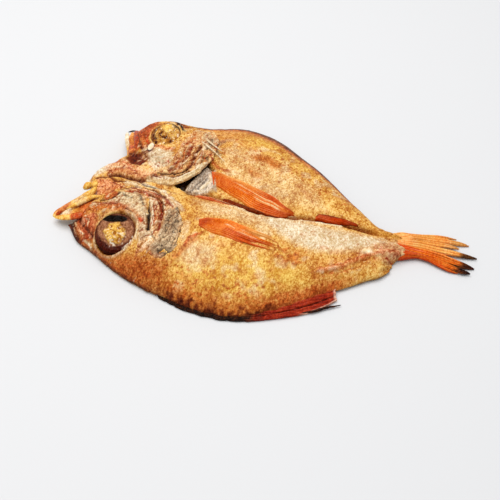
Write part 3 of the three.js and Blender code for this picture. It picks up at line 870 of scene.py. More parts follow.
def cover_piece(name, ends, front, rear, lift, skin_marks, marks):
    """A thin wrinkled plate that grows out of the cheek and is free along its rear edge.

    ends are y at the throat and at the nape. front and rear are lines of x over the share between them.
    """
    mesh, s, t, top = blank(name, 190, 150)
    nape = 1 - t if ends[0] < 0 else t
    wave = 0.6 * noise(nape * 60, s * 4, 3.0, 51) + 0.3 * noise(nape * 60, s * 4, 1.2, 52)
    x = front(nape) + (rear(nape) - front(nape)) * s + wave * s
    y = ends[0] + (ends[1] - ends[0]) * nape + 0.5 * noise(x, nape * 10, 3.0, 53)
    plate = Surface(x, y)
    skin_marks(plate)
    marks(plate)
    free = smooth(s, 0.5, 1)
    sides = np.minimum(t, 1 - t) / 0.05
    rounded = np.sqrt(np.clip(1 - (1 - np.clip(np.minimum((1 - s) / 0.04, sides), 0, 1)) ** 2, 0, 1))
    sunk = 0.9 * (1 - smooth(s, 0, 0.1)) + 0.7 * (1 - np.clip(sides, 0, 1)) * (1 - free)
    wrinkles = 0.4 * fractal(x, y, 5, 61) + 0.35 * fractal(x, y * 0.7, 1.9, 62)
    base = flank_z(x, y) + lift * s ** 3
    upper = base + 0.5 + wrinkles + plate.height - sunk - 0.7 * (1 - rounded) * free
    lower = np.minimum(base - 1.2 * (1 - free) - 0.5 - 0.5 * rounded, upper - 0.2)
    shape(mesh, np.stack([x, y, np.where(top, upper, lower)], 1), plate.masks)
    piece(name + "_skin", mesh, "gill_cover", [COVER], name)


def right_cover_marks(plate):
    """Folds, red grooves and the grey rear corner of the right gill cover."""
    x, y = plate.x, plate.y
    plate.paint(np.ones_like(x), pink=0.1)
    plate.pale_highlight_line(0.9, 0.6, [(-59.4, -18), (-56.4, -24), (-53.8, -31), (-52, -38), (-51.5, -44)])
    plate.pale_highlight_line(0.5, 0.4, [(-52.8, -17.6), (-49.8, -22), (-48.2, -28)], 0.9)
    plate.draw(0.5, -0.5, [(-57.4, -19.6), (-54.4, -26), (-52, -33)], brown=0.8, red=0.5)
    plate.draw(1.0, -1.1, [(-54.6, -18.4), (-51.6, -23), (-50.2, -29), (-49.2, -34.6)], red=1.0, dark=0.45)
    plate.draw(0.5, -0.6, [(-52.6, -19), (-50.8, -23.4)], dark=0.8)
    plate.fill(1.3, 0.2, [(-48.6, -22), (-43.5, -21.5), (-39, -28), (-38, -38), (-42, -42), (-47, -40)],
               grey=0.8)
    plate.draw(1.0, 0.4, [(-47.4, -24), (-46.4, -32), (-47.4, -39)], pale=0.85)
    plate.draw(0.7, 0.3, [(-42.6, -24), (-40.6, -31), (-41.4, -37)], pale=0.7)
    plate.fill(1.3, 0.1, [(-49, -42), (-42, -40), (-37.6, -42), (-38.6, -48), (-46, -50), (-51, -47)],
               grey=0.95)
    plate.draw(1.3, -0.5, [(-45, -46.6), (-42, -45.4), (-39.6, -46.6)], dark=0.85)
    plate.draw(0.7, 0.3, [(-43.6, -43), (-41.4, -44.2)], pale=0.7)
    plate.draw(0.8, -0.3, [(-43, -30), (-41, -35)], dark=0.5)
    plate.draw(0.8, -0.6, [(-60, -12.4), (-53, -15), (-47, -19.6)], red=0.85, dark=0.3)
    plate.draw(1.0, 0.4, [(-66, -12.4), (-57, -12.6), (-49, -17), (-42.6, -22)], pale=0.8)
    plate.draw(0.5, -0.5, [(-62, -13.6), (-55, -16.6), (-50, -20.6)], dark=0.6, brown=0.8)
    spots = smooth(noise(x, y, 1.6, 91) + 0.5 * noise(x, y, 0.8, 92), 0.5, 0.85)
    plate.paint(spots * smooth(x, -50, -46), dark=0.75)
    plate.paint(smooth(-y, 43, 50) * (1 - smooth(x, -52, -46)), brown=0.8)
    plate.draw(0.7, -0.4, [(-52, -38), (-49, -41.4), (-46.6, -41)], dark=0.5)
    plate.crackle(smooth(x, -62, -56) * (1 - smooth(x, -50, -47)), 2.6, 74, 86, red=0.9, dark=0.3)
    plate.crackle(smooth(x, -50, -46), 1.8, 60, 88, dark=0.75, grey=0.5)
    plate.crackle((1 - smooth(x, -64, -58)) * smooth(y, -40, -30), 2.2, 50, 84, brown=0.7, dark=0.3)
    # The slit along the cover's front edge is painted near-black: painted shade in the gap between cover and
    # cheek.
    slit = [(-62.4, -17.6), (-59.2, -24), (-56.6, -30), (-54.6, -36)]
    plate.clear(stroke(x, y, slit, 1.3), "pale", "grey")
    plate.draw(1.15, -1.5, slit, dark=1.0)
    plate.glints(0.8, 89)


def left_cover_marks(plate):
    """Folds, red grooves and the golden lower rim of the left gill cover."""
    x, y = plate.x, plate.y
    plate.paint(np.ones_like(x), pink=0.12, gold=0.5, pale=0.2)
    plate.draw(1.3, 0.7, [(-66, 1.6), (-56.5, 2), (-50, 4), (-45.4, 8.4), (-41.6, 14)], pale=0.95)
    plate.draw(0.6, -1.1, [(-64, 4.6), (-57.5, 5.4), (-51.5, 7.4), (-47.5, 11.5)], dark=0.9, red=0.6)
    plate.draw(1.0, -0.8, [(-60, 25), (-59.5, 16), (-62, 9.4)], red=0.85, brown=0.7)
    plate.pale_highlight_line(0.7, 0.6, [(-57, 25), (-56, 15), (-58, 8.6)], 0.9)
    plate.draw(0.6, -0.6, [(-55.4, 27), (-54.4, 18), (-56, 11)], brown=0.9, red=0.5)
    plate.draw(1.2, -1.1, [(-53, 29.5), (-52.4, 18.5), (-54.6, 10), (-57.6, 7.4)], red=0.95, dark=0.4)
    plate.pale_highlight_line(0.7, 0.7, [(-50.6, 27), (-50.2, 18), (-52, 11)], 0.8)
    plate.draw(0.9, -1.0, [(-48, 31), (-48.4, 22), (-48, 14.4), (-49.6, 9.6)], red=0.85, dark=0.7)
    plate.draw(1.0, 0.6, [(-45, 26), (-45, 18), (-44.6, 13)], pale=0.75, grey=0.5)
    plate.draw(0.5, -0.6, [(-43.4, 24), (-43, 17)], dark=0.6)
    plate.fill(1.3, 0.1, [(-45, 30), (-39, 28), (-39, 38), (-44, 44), (-50, 46), (-51, 40)], grey=0.6)
    plate.draw(0.8, -0.5, [(-43.6, 29), (-42, 34), (-44.4, 40)], dark=0.7)
    plate.draw(0.9, 0.3, [(-46.4, 31), (-45, 37), (-48, 42)], pale=0.7)
    plate.draw(1.4, 0.2, [(-56, 44), (-54, 38), (-56, 31)], brown=0.8)
    plate.draw(2.0, 0.2, [(-62, 33), (-58, 29)], pale=0.5, brown=0.5)
    plate.draw(0.9, -0.6, [(-41, 22), (-39.6, 16.5)], dark=0.7)
    ripple = np.sin(1.9 * (x + 0.35 * y) + 2.0 * noise(x, y, 5, 95))
    plate.height += 0.1 * ripple
    plate.paint(smooth(-ripple, 0.6, 1.0) * smooth(y, 8, 14), brown=0.4, red=0.25)
    plate.crackle(smooth(y, 7, 11) * (1 - smooth(y, 34, 42)) * smooth(x, -62, -56), 3.2, 62, 96, light=0.9,
                  red=1.0, dark=0.15)
    plate.crackle(smooth(x, -62, -52), 2.0, 40, 98, brown=0.8)
    rim_path = [(-68, -0.6), (-58, -0.4), (-51, 1.6), (-45.6, 6.4), (-42, 11.5), (-40.4, 15)]
    rim = stroke(plate.wx, plate.wy, rim_path, 1.9)
    plate.clear(rim, "red", "brown", "dark", "pink")
    plate.paint(rim, pale=0.65, gold=0.95)
    plate.height += 0.5 * rim
    plate.draw(0.5, -0.9, [(-63, 3.6), (-56.5, 3.4), (-51, 5.4), (-47.4, 9.4)], dark=0.8, red=0.8)
    plate.glints(0.9 * smooth(y, 4, 10), 99)


def make_gill_covers():
    cover_piece(
        "right_gill_cover", (-10, -50.5),
        line((0, -80), (0.2, -66), (0.5, -61), (1, -58)),
        line((0, -58), (0.15, -47.5), (0.35, -40.5), (0.6, -37.6), (0.85, -38.2), (1, -44)),
        lift=0.5, skin_marks=mark_right_head, marks=right_cover_marks)
    cover_piece(
        "left_gill_cover", (-1.0, 49.5),
        line((0, -72), (0.12, -68), (0.25, -64), (0.5, -60.5), (0.75, -60), (1, -57)),
        line((0, -54), (0.1, -46.4), (0.2, -42.2), (0.32, -39.2), (0.6, -38), (0.85, -41), (1, -47)),
        lift=1.6, skin_marks=mark_left_head, marks=left_cover_marks)


# ---------------------------------------------------------------- eyes

EYEBALL = fish_material(
    "cooked_eye", ("#522614", "#905a3a", "#be8864"),
    [("ring", "#280602", "#5a1c0e", 0.7), ("gold", "#c88422", "#ffdc80", 0.4),
     ("lens_dark", "#8e4c10", "#c07c28", 0.6), ("white", "#f0cc98", "#fffdf4", 0.2),
     ("black", "#040100", "#140804", 0.3)],
    roughness=0.3, depth=0.1, scale=1.3, coat=0.04, contrast=2.0, specular=0.01)


def bloody_eye_masks(u, v, r, gold, knobs, specks):
    """The left eye: golden crumbs around the lens, with clots of blood and a dark rim."""
    crumbs = smooth(noise(u, v, 0.16, 21) + 0.5 * noise(u, v, 0.07, 22), 0.15, 0.5)
    blood = smooth(noise(u, v, 0.22, 23) + 0.4 * noise(u, v, 0.09, 24), 0.1, 0.4)
    blood = blood * smooth(0.3 - v - 0.6 * u, 0, 0.4)
    clot = 0.85 * smooth(-u - 0.2 * v, 0.3, 0.6) * smooth(noise(u, v, 0.18, 27), -0.6, 0.0)
    blood = np.maximum(blood, clot)
    inside = (1 - smooth(r, 0.85, 0.97)) * (1 - gold)
    # The black band across the top of the eye is a painted shadow below the socket's upper rim.
    over = smooth(v + 0.3 * u, 0.72, 0.86)
    return {
        "gold": np.maximum(gold, (0.55 + 0.4 * crumbs) * inside * (1 - blood)),
        "lens_dark": 0.8 * smooth(-knobs, 0.0, 0.5) * inside,
        "white": np.maximum(0.7 * gold * specks, 0.8 * specks * crumbs * inside),
        "ring": np.maximum(0.95 * blood * inside, 0.7 * smooth(r, 0.9, 0.98)),
        "black": np.maximum(0.7 * over, 0.25 * blood * inside * specks),
    }


def make_eye(side):
    """A cooked eye: a knobbly golden lens in a clouded ring, with a dark ring outside."""
    cx, cy, wide, long = EYE[side]
    lean = math.radians(EYE_LEAN[side])
    normal = np.array([0, math.sin(lean), math.cos(lean)])
    up = np.array([0, math.cos(lean), -math.sin(lean)])
    mesh, at = ball(f"{side}_eye", 144, 96)
    u, v, front = at[:, 0], at[:, 1], at[:, 2] > 0
    r = np.hypot(u, v)
    right = side == "right"
    lens_x, lens_y, lens_size = (-0.02, -0.02, 0.5) if right else (0.02, 0.5, 0.42)
    wobble = 1 + 0.22 * noise(u, v, 0.2, 15)
    lens = np.hypot(u - lens_x, v - lens_y) / lens_size * wobble
    knobs = noise(u, v, 0.13, 16) + 0.7 * noise(u, v, 0.06, 17)
    dome = 2.2 * np.sqrt(np.clip(1 - r * r, 0, 1))
    height = dome + 1.1 * np.clip(1 - lens ** 2, 0, 1) ** 0.8 + 0.4 * knobs * (1 - smooth(lens, 0.8, 1.15))
    height -= 0.5 * np.exp(-((lens - 1.18) / 0.14) ** 2)
    height += 0.2 * noise(u, v, 0.1, 18) * smooth(lens, 1.1, 1.3)
    # The black crescent at the top of the eye is a painted shadow below the socket's upper rim.
    shadow = np.hypot((u + 0.24) / 0.64, (v - 0.14 * u - 0.7) / 0.2) + 0.15 * noise(u, v, 0.2, 25)
    crescent = 1 - smooth(shadow, 0.85, 1.1)
    low = smooth(-v - 0.1 * u, 0.0, 0.75)
    ring = smooth(r * wobble ** 0.4, 0.76 - 0.2 * low, 0.9 - 0.2 * low) * (0.75 + 0.25 * low)
    height += 0.3 * np.exp(-((r - 0.86) / 0.06) ** 2) * low
    depth = np.where(front, height, -2.5 * np.sqrt(np.clip(1 - r * r, 0, 1)))
    base = flank_z(np.array([cx]), np.array([cy]))[0] - 1.9
    points = np.array([cx, cy, base]) + (wide * u)[:, None] * np.array([1, 0, 0]) + (long * v)[:, None] * up
    points += depth[:, None] * normal
    gold = 1 - smooth(lens, 0.8, 1.08)
    specks = smooth(noise(u, v, 0.075, 19), 0.25, 0.7)
    # Painted highlights: white specks below the lens and on the right of the rim stand in for glints of
    # light.
    wet = specks * np.exp(-((lens - 1.08) / 0.16) ** 2) * smooth(-v, -0.1, 0.4) * smooth(u, -0.4, -0.15)
    rim_specks = smooth(noise(u, v, 0.09, 26), 0.05, 0.4)
    rim_glints = rim_specks * smooth(r, 0.8, 0.86) * (1 - smooth(r, 0.94, 0.97))
    rim_glints = rim_glints * smooth(u, 0.5, 0.7) * smooth(-v, -0.3, 0.1)
    masks = {
        "gold": gold,
        "lens_dark": gold * smooth(-knobs, 0.15, 0.7),
        "white": np.maximum.reduce([0.9 * wet, 0.6 * gold * specks, 0.9 * rim_glints]),
        "ring": ring * (1 - gold),
        "black": np.maximum(crescent, 0.6 * smooth(r, 0.96, 0.99)),
    }
    if not right:
        masks = bloody_eye_masks(u, v, r, gold, knobs, specks)
    shape(mesh, points, masks)
    piece(f"{side}_eyeball", mesh, "eye", [EYEBALL], f"{side}_eye")


def make_eye_bead():
    """A small white bead with a dark rim at the front corner of the left eye."""
    mesh, at = ball("left_eye_bead", 32, 24)
    points = at * (1.9, 3.5, 1.9) + (-75.2, 22.8, 17.5)
    rim = 1 - smooth(at[:, 2], 0.3, 0.6)
    shape(mesh, points, {"white": 1 - rim, "black": rim})
    piece("left_eye_bead", mesh, "eye", [EYEBALL])


# ---------------------------------------------------------------- jaws


def join_limbs(name, limbs):
    """Several closed rods in one mesh. Each is (path, radius line, height to width, masks)."""
    joined = bmesh.new()
    masks_used = sorted({m for limb in limbs for m in limb[3]})
    for k, (path, radius, flat, masks) in enumerate(limbs):
        mesh, at = ball(name, 26, 56)
        points, s = limb_points(at, path, radius, flat, rough=0.12, seed=100 + 7 * k)
        values = {m: (masks[m](s) if m in masks else 0 * s) for m in masks_used}
        shape(mesh, points, values)
        joined.from_mesh(mesh)
        bpy.data.meshes.remove(mesh)
    mesh = bpy.data.meshes.new(name)
    joined.to_mesh(mesh)
    joined.free()
    mesh.shade_smooth()
    return mesh


def everywhere(amount):
    """A colour as strong as that all along a rod."""
    return lambda s: amount + 0 * s


def band(start, end, amount):
    """A colour over that stretch of a rod's length, with soft ends."""
    soft = 0.05

    def strength(s):
        return amount * smooth(s, start - soft, start + soft) * (1 - smooth(s, end - soft, end + soft))

    return strength


def make_jaws():
    """Both upper jaws, each a bundle of bent amber bones and the web between them."""
    right = [
        ([(-113.6, -31, 4.2), (-111, -27, 5.6), (-105.6, -21.4, 7.4), (-100.8, -16.6, 9), (-97, -12, 10.4),
          (-96, -9, 11.4)],
         line((0, 1.5), (0.08, 1.9), (0.2, 1.7), (0.5, 1.8), (0.8, 2.1), (1, 1.5)), 0.85,
         {"pale": band(0.45, 0.7, 0.3), "gold": band(0.4, 1.1, 0.8), "red": band(0.08, 0.42, 0.65)}),
        ([(-113, -30.8, 4), (-109.4, -30.9, 5), (-105.4, -30.6, 6), (-101, -29.8, 7.2), (-96, -28.2, 8.8)],
         line((0, 1.0), (0.25, 1.6), (0.6, 2.2), (1, 2.6)), 0.6,
         {"gold": band(-0.1, 0.6, 0.5), "red": band(0.6, 1.1, 0.9)}),
        ([(-112.4, -29.8, 4.2), (-107.6, -27.6, 5), (-101, -24.4, 6.8), (-95, -21, 8.9), (-88, -20, 11.4)],
         line((0, 0.9), (0.14, 2.6), (0.4, 4.8), (0.75, 6.2), (1, 3)), 0.34,
         {"pale": band(-0.1, 0.34, 0.7), "gold": band(-0.1, 0.6, 0.5), "brown": band(0.4, 1.1, 0.6),
          "red": band(0.5, 1.1, 0.7)}),
        ([(-107, -26.6, 8), (-100, -22.2, 10.8), (-94, -18.4, 12.8), (-89, -17, 13.6)],
         line((0, 0.6), (0.5, 1.7), (1, 0.8)), 0.7,
         {"gold": everywhere(0.85), "pale": band(0.3, 0.6, 0.3)}),
        ([(-104, -10.4, 8.6), (-101.4, -8.2, 10), (-98.4, -7.6, 11.2), (-96, -9.6, 11.8)],
         line((0, 1.3), (0.3, 2.2), (0.55, 1.7), (0.8, 2.2), (1, 1.4)), 0.85, {"gold": everywhere(0.8)}),
        ([(-112, -30, 5.4), (-109.6, -27.6, 6.8)], line((0, 0.5), (0.5, 0.9), (1, 0.5)), 1.0,
         {"red": everywhere(1.0)}),
    ]
    piece("right_upper_jaw_bone", join_limbs("right_jaw", right), "jaw", [JAW], "right_upper_jaw")
    left = [
        ([(-99.8, 43.6, 5.4), (-95.6, 34.4, 7.6), (-91, 26, 9.4), (-87.4, 18.6, 10.8), (-85, 13, 11.6)],
         line((0, 1.3), (0.15, 1.5), (0.6, 1.5), (1, 1.4)), 0.9,
         {"pale": band(-0.2, 0.55, 0.95), "gold": band(0.5, 0.8, 0.6), "dark": band(0.88, 1.2, 0.8)}),
        ([(-96.4, 44, 6.2), (-92.4, 37, 8), (-88.2, 28, 10), (-84.4, 20, 11.8), (-81.6, 14, 12.4)],
         line((0, 1.8), (0.2, 3), (0.5, 3.4), (0.8, 4.4), (1, 3)), 0.5,
         {"brown": band(0.2, 0.7, 0.7), "red": band(0.5, 1.2, 0.7), "dark": band(0.78, 1.2, 0.75)}),
        ([(-94, 44, 8), (-89, 37, 10.6), (-84.6, 28, 13), (-80.6, 20, 14)],
         line((0, 1.6), (0.4, 3.4), (1, 2.4)), 0.5,
         {"red": everywhere(0.95), "dark": everywhere(0.15)}),
        ([(-99.4, 44.2, 5.6), (-97, 44.4, 6.6), (-94.4, 45, 7.2)],
         line((0, 0.3), (0.5, 0.55), (1, 0.4)), 0.8, {"dark": everywhere(1.0)}),
    ]
    piece("left_upper_jaw_bone", join_limbs("left_jaw", left), "jaw", [JAW], "left_upper_jaw")


# ---------------------------------------------------------------- fins


def fin_on_skin(node, middle, half, masks, rays, rise, thickness, seed, notch=0.3, start_slope=0.0):
    """A folded fin that grows out of the skin and lies along it.

    middle and half are lines over x: y of its middle and half its width. notch is how far its tips differ
    and part, and start_slope how far its root leans.
    """
    low, high = (np.array(corner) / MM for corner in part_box(node))
    mesh, s, t, top = blank(node, 170, 12 * rays)
    gap = (0.5 + 0.5 * np.cos(2 * math.pi * rays * t)) ** 2
    ray = np.clip(np.floor(rays * t), 0, rays - 1).astype(int)
    reach = 1 - notch * np.random.default_rng(seed).uniform(0, 1, rays)[ray] * (np.abs(t - 0.5) * 2) ** 0.5
    out = s * (reach - notch * 0.4 * gap * smooth(s, 0.5, 1))
    x = low[0] + (high[0] - low[0]) * out
    width = half(x)
    x = x + start_slope * (1 - t) * (1 - smooth(s, 0, 0.2))
    y = middle(x) + (2 * t - 1) * width + 0.3 * noise(x, t * 5, 6.0, seed + 1)
    ridge = np.abs(np.sin(math.pi * rays * t + 0.5 * noise(x, t * 3, 9.0, seed + 4))) ** 0.7
    edge = np.sqrt(np.clip(1 - (2 * t - 1) ** 4, 0, 1)) * np.sqrt(np.clip(1 - s ** 8, 0, 1))
    grown = smooth(s, 0, 0.1)
    base = flank_z(x, y) + rise * grown
    relief = 0.8 * ridge + 0.4 * noise(x, t * rays, 4.0, seed + 2)
    upper = base - 0.2 + (0.35 + 0.65 * grown) * (thickness * 0.5 + relief) * edge + 0.5 * grown * edge
    z = np.where(top, upper, np.minimum(base - 1.2 - 1.4 * (1 - grown), upper - 0.15))
    values = {name: f(s, t, x) for name, f in masks.items()}
    lines = smooth(noise(x, t * rays * 3, 7.0, seed + 6), -0.1, 0.5)
    values["red"] = np.maximum(values.get("red", 0 * s), 0.9 * (1 - ridge) ** 1.5 * lines)
    values["streak"] = np.maximum(values.get("streak", 0 * s), 0.14 * smooth(ridge, 0.75, 1) * (1 - lines))
    shape(mesh, np.stack([x, y, z], 1), values)
    piece(node + "_rays", mesh, "fin", [FIN], node)


def make_pectoral_fins():
    """The fin of each side, laid back from its gill cover."""
    def left_streak(s, t, x):
        strips = np.exp(-((t - 0.46 + 0.004 * (x + 6)) / 0.05) ** 2)
        strips = strips + np.exp(-((t - 0.6 + 0.004 * x) / 0.03) ** 2)
        broken = smooth(noise(x, t * 30, 6.0, 4), -0.9, -0.2)
        return strips * smooth(x, -24, -16) * (1 - smooth(x, 5, 9)) * broken

    # Painted highlight: pale strips on the right fin stand in for glints of light between its upper and
    # lower strip of rays.
    def right_glint_strips(s, t, x):
        strips = np.exp(-((t - 0.6) / 0.05) ** 2)
        strips = strips + 0.8 * np.exp(-((t - 0.47) / 0.035) ** 2) * smooth(x, -12, -6)
        broken = smooth(noise(x, t * 30, 2.6, 7), -0.3, 0.3)
        return strips * smooth(x, -18, -15) * (1 - smooth(x, 2, 8)) * broken

    def left_red(s, t, x):
        belly = 0.7 * smooth(x, -14, 0) * np.maximum(t < 0.36, t > 0.68)
        return np.maximum(belly, 0.85 * (1 - smooth(x + 3 * t, -33, -28)))

    def right_red(s, t, x):
        low = 0.75 * (t < 0.44) * smooth(x, -22, -10) * (1 - smooth(x, 4, 9))
        return np.maximum(low, 0.85 * (1 - smooth(x - 2 * t, -29, -24)))

    def right_tan(s, t, x):
        wander = 3 * noise(x, t * 9, 5, 9)
        upper = 0.8 * smooth(t, 0.55, 0.7) * smooth(x + wander, -12, 2)
        return np.maximum(upper, 0.9 * smooth(x + wander, 5, 10))

    fin_on_skin(
        "left_pectoral_fin",
        line((-36, 10), (-33, 9.6), (-28, 8.6), (-16, 5.8), (-5, 2.6), (4, 1), (9, 0.4), (14, 0.6)),
        line((-36, 3.6), (-33, 3.8), (-28, 4.2), (-16, 5.4), (-5, 6), (4, 4.6), (9, 2.8), (14, 0.9)),
        {"streak": left_streak, "pink": lambda s, t, x: 0.5 * (1 - smooth(x, -36, -34)),
         "tan": lambda s, t, x: 0.6 * smooth(t, 0.6, 0.9) * (1 - smooth(x, -8, 6)), "red": left_red},
        rays=12, rise=0.3, thickness=1.0, notch=0.12, start_slope=3.4, seed=200)
    fin_on_skin(
        "right_pectoral_fin",
        line((-31, -25.2), (-25, -24.8), (-16, -24.4), (-8, -25.6), (0, -26.3), (7, -26.4), (14, -26.4)),
        line((-31, 2.2), (-25, 4.2), (-16, 5.4), (-8, 5.6), (0, 5.3), (7, 4.8), (14, 3.0)),
        {"streak": right_glint_strips, "tan": right_tan, "red": right_red},
        rays=12, rise=0.1, thickness=0.9, notch=0.5, start_slope=1.0, seed=220)


def make_belly_fins():
    """The slivers of both pelvic fins in the crease, and the anal fin behind them."""
    def always(amount):
        return lambda s, t, x: amount + 0 * s

    fin_on_skin(
        "right_pelvic_fin",
        line((-44, -3.2), (-30, -4.0), (-16, -5.2), (0, -5.4)),
        line((-44, 0.8), (-30, 1.2), (-10, 0.8)),
        {"pink": always(0.8), "streak": lambda s, t, x: 0.5 * (t > 0.6), "tan": always(0.5),
         "dark": lambda s, t, x: 0.8 * (np.abs(t - 0.4) < 0.12) * smooth(s, 0.3, 0.5)},
        rays=4, rise=0.2, thickness=0.6, seed=240)
    # The left pelvic fin's dark is painted shade: the fin lies in the shaded crease under the left pectoral
    # fin.
    fin_on_skin(
        "left_pelvic_fin",
        line((-40, -0.2), (-20, -1.6), (0, -3.6)),
        line((-40, 0.8), (-20, 1.2), (0, 0.6)),
        {"red": always(0.9), "dark": always(0.62)},
        rays=4, rise=-0.4, thickness=0.5, seed=250)
    fin_on_skin(
        "anal_fin",
        line((20, 2.6), (34, 3.4), (50, 3.8)),
        line((22, 0.5), (27, 1.2), (36, 1.6), (50, 0.6)),
        {"red": always(0.95), "dark": lambda s, t, x: 0.85 * smooth(t, 0.5, 1)},
        rays=5, rise=0.4, thickness=1.0, notch=0.5, seed=260)


def make_dorsal_fin():
    """The dorsal fin, folded back along the right back edge, charred in front and red at its rear."""
    low, high = (np.array(corner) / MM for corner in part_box("dorsal_fin"))
    lean = 2.2  # how far its outer edge is shifted towards the tail
    mesh, s, t, top = blank("dorsal_fin", 336, 40)
    out = 1 - t
    x = low[0] + (high[0] - lean - low[0]) * s + out * lean
    x = x + 0.3 * noise(out * 9, s, 1.0, 307) * smooth(s, 0.97, 1)
    reach = line((-40, 0.6), (-24, 1.6), (-10, 1.7), (4, 2.4), (14, 3.6), (20, 4.8), (27, 6.6),
                 (32, 8), (37, 8.8), (42, 8.4), (47, 6.4))(x)
    reach *= 1 + 0.25 * noise(s * 90, 0 * s, 2.0, 302) * (1 - smooth(s, 0.4, 0.6))
    y = right_edge(x) + 1.6 - out * (reach + 1.6)
    pleats = 4.5 * out - 10 * s + 0.4 * noise(s * 60, out * 3, 3.0, 301)
    ridge = np.abs(np.sin(math.pi * pleats)) ** 0.8
    fold = smooth(s, 0.5, 0.75)
    furrow = 0.55  # share of the fin's reach at which a furrow runs along its rear half
    z_top = 2.1 - 1.1 * out + (0.45 * ridge + 0.3 * noise(x, y, 1.6, 303)) * (1 - 0.3 * out) + 0.4 * fold
    z_top -= 0.8 * fold * np.exp(-((out - furrow) / 0.05) ** 2)
    z = np.where(top, z_top, 0.1 + 0.2 * out)
    char = (1 - smooth(x + 4 * noise(x, y, 3, 305), 4, 18)) * (0.75 + 0.25 * out)
    groove = (1 - ridge) ** 2
    brim = smooth(out, 0.92, 0.98) + smooth(s, 0.985, 0.997)
    masks = {
        "dark": np.clip(char + 0.5 * groove + 0.7 * fold * np.exp(-((out - furrow) / 0.04) ** 2), 0, 1),
        "red": smooth(x, 2, 12),
        "tan": 0.2 * fold * (1 - smooth(out, 0.06, 0.24)),
        "streak": np.clip(0.65 * smooth(s, 0.8, 0.86) * brim, 0, 1),
    }
    shape(mesh, np.stack([x, y, z], 1), masks)
    piece("dorsal_fin_rays", mesh, "dark_fin", [DARK_FIN], "dorsal_fin")


def make_dorsal_filament():
    """A loose charred ray along the rear end of the dorsal fin."""
    mesh, at = ball("dorsal_filament", 12, 60)
    path = [(32, -54.6, 1.4), (38, -51.6, 1.3), (43, -48.2, 1.3), (50, -44.2, 1.0)]
    radius = line((0, 0.4), (0.5, 0.7), (1, 0.3))
    points, s = limb_points(at, path, radius, flat=1.0, rough=0.3, seed=310)
    shape(mesh, points, {"dark": everywhere(0.95)(s)})
    piece("dorsal_filament", mesh, "dark_fin", [DARK_FIN])


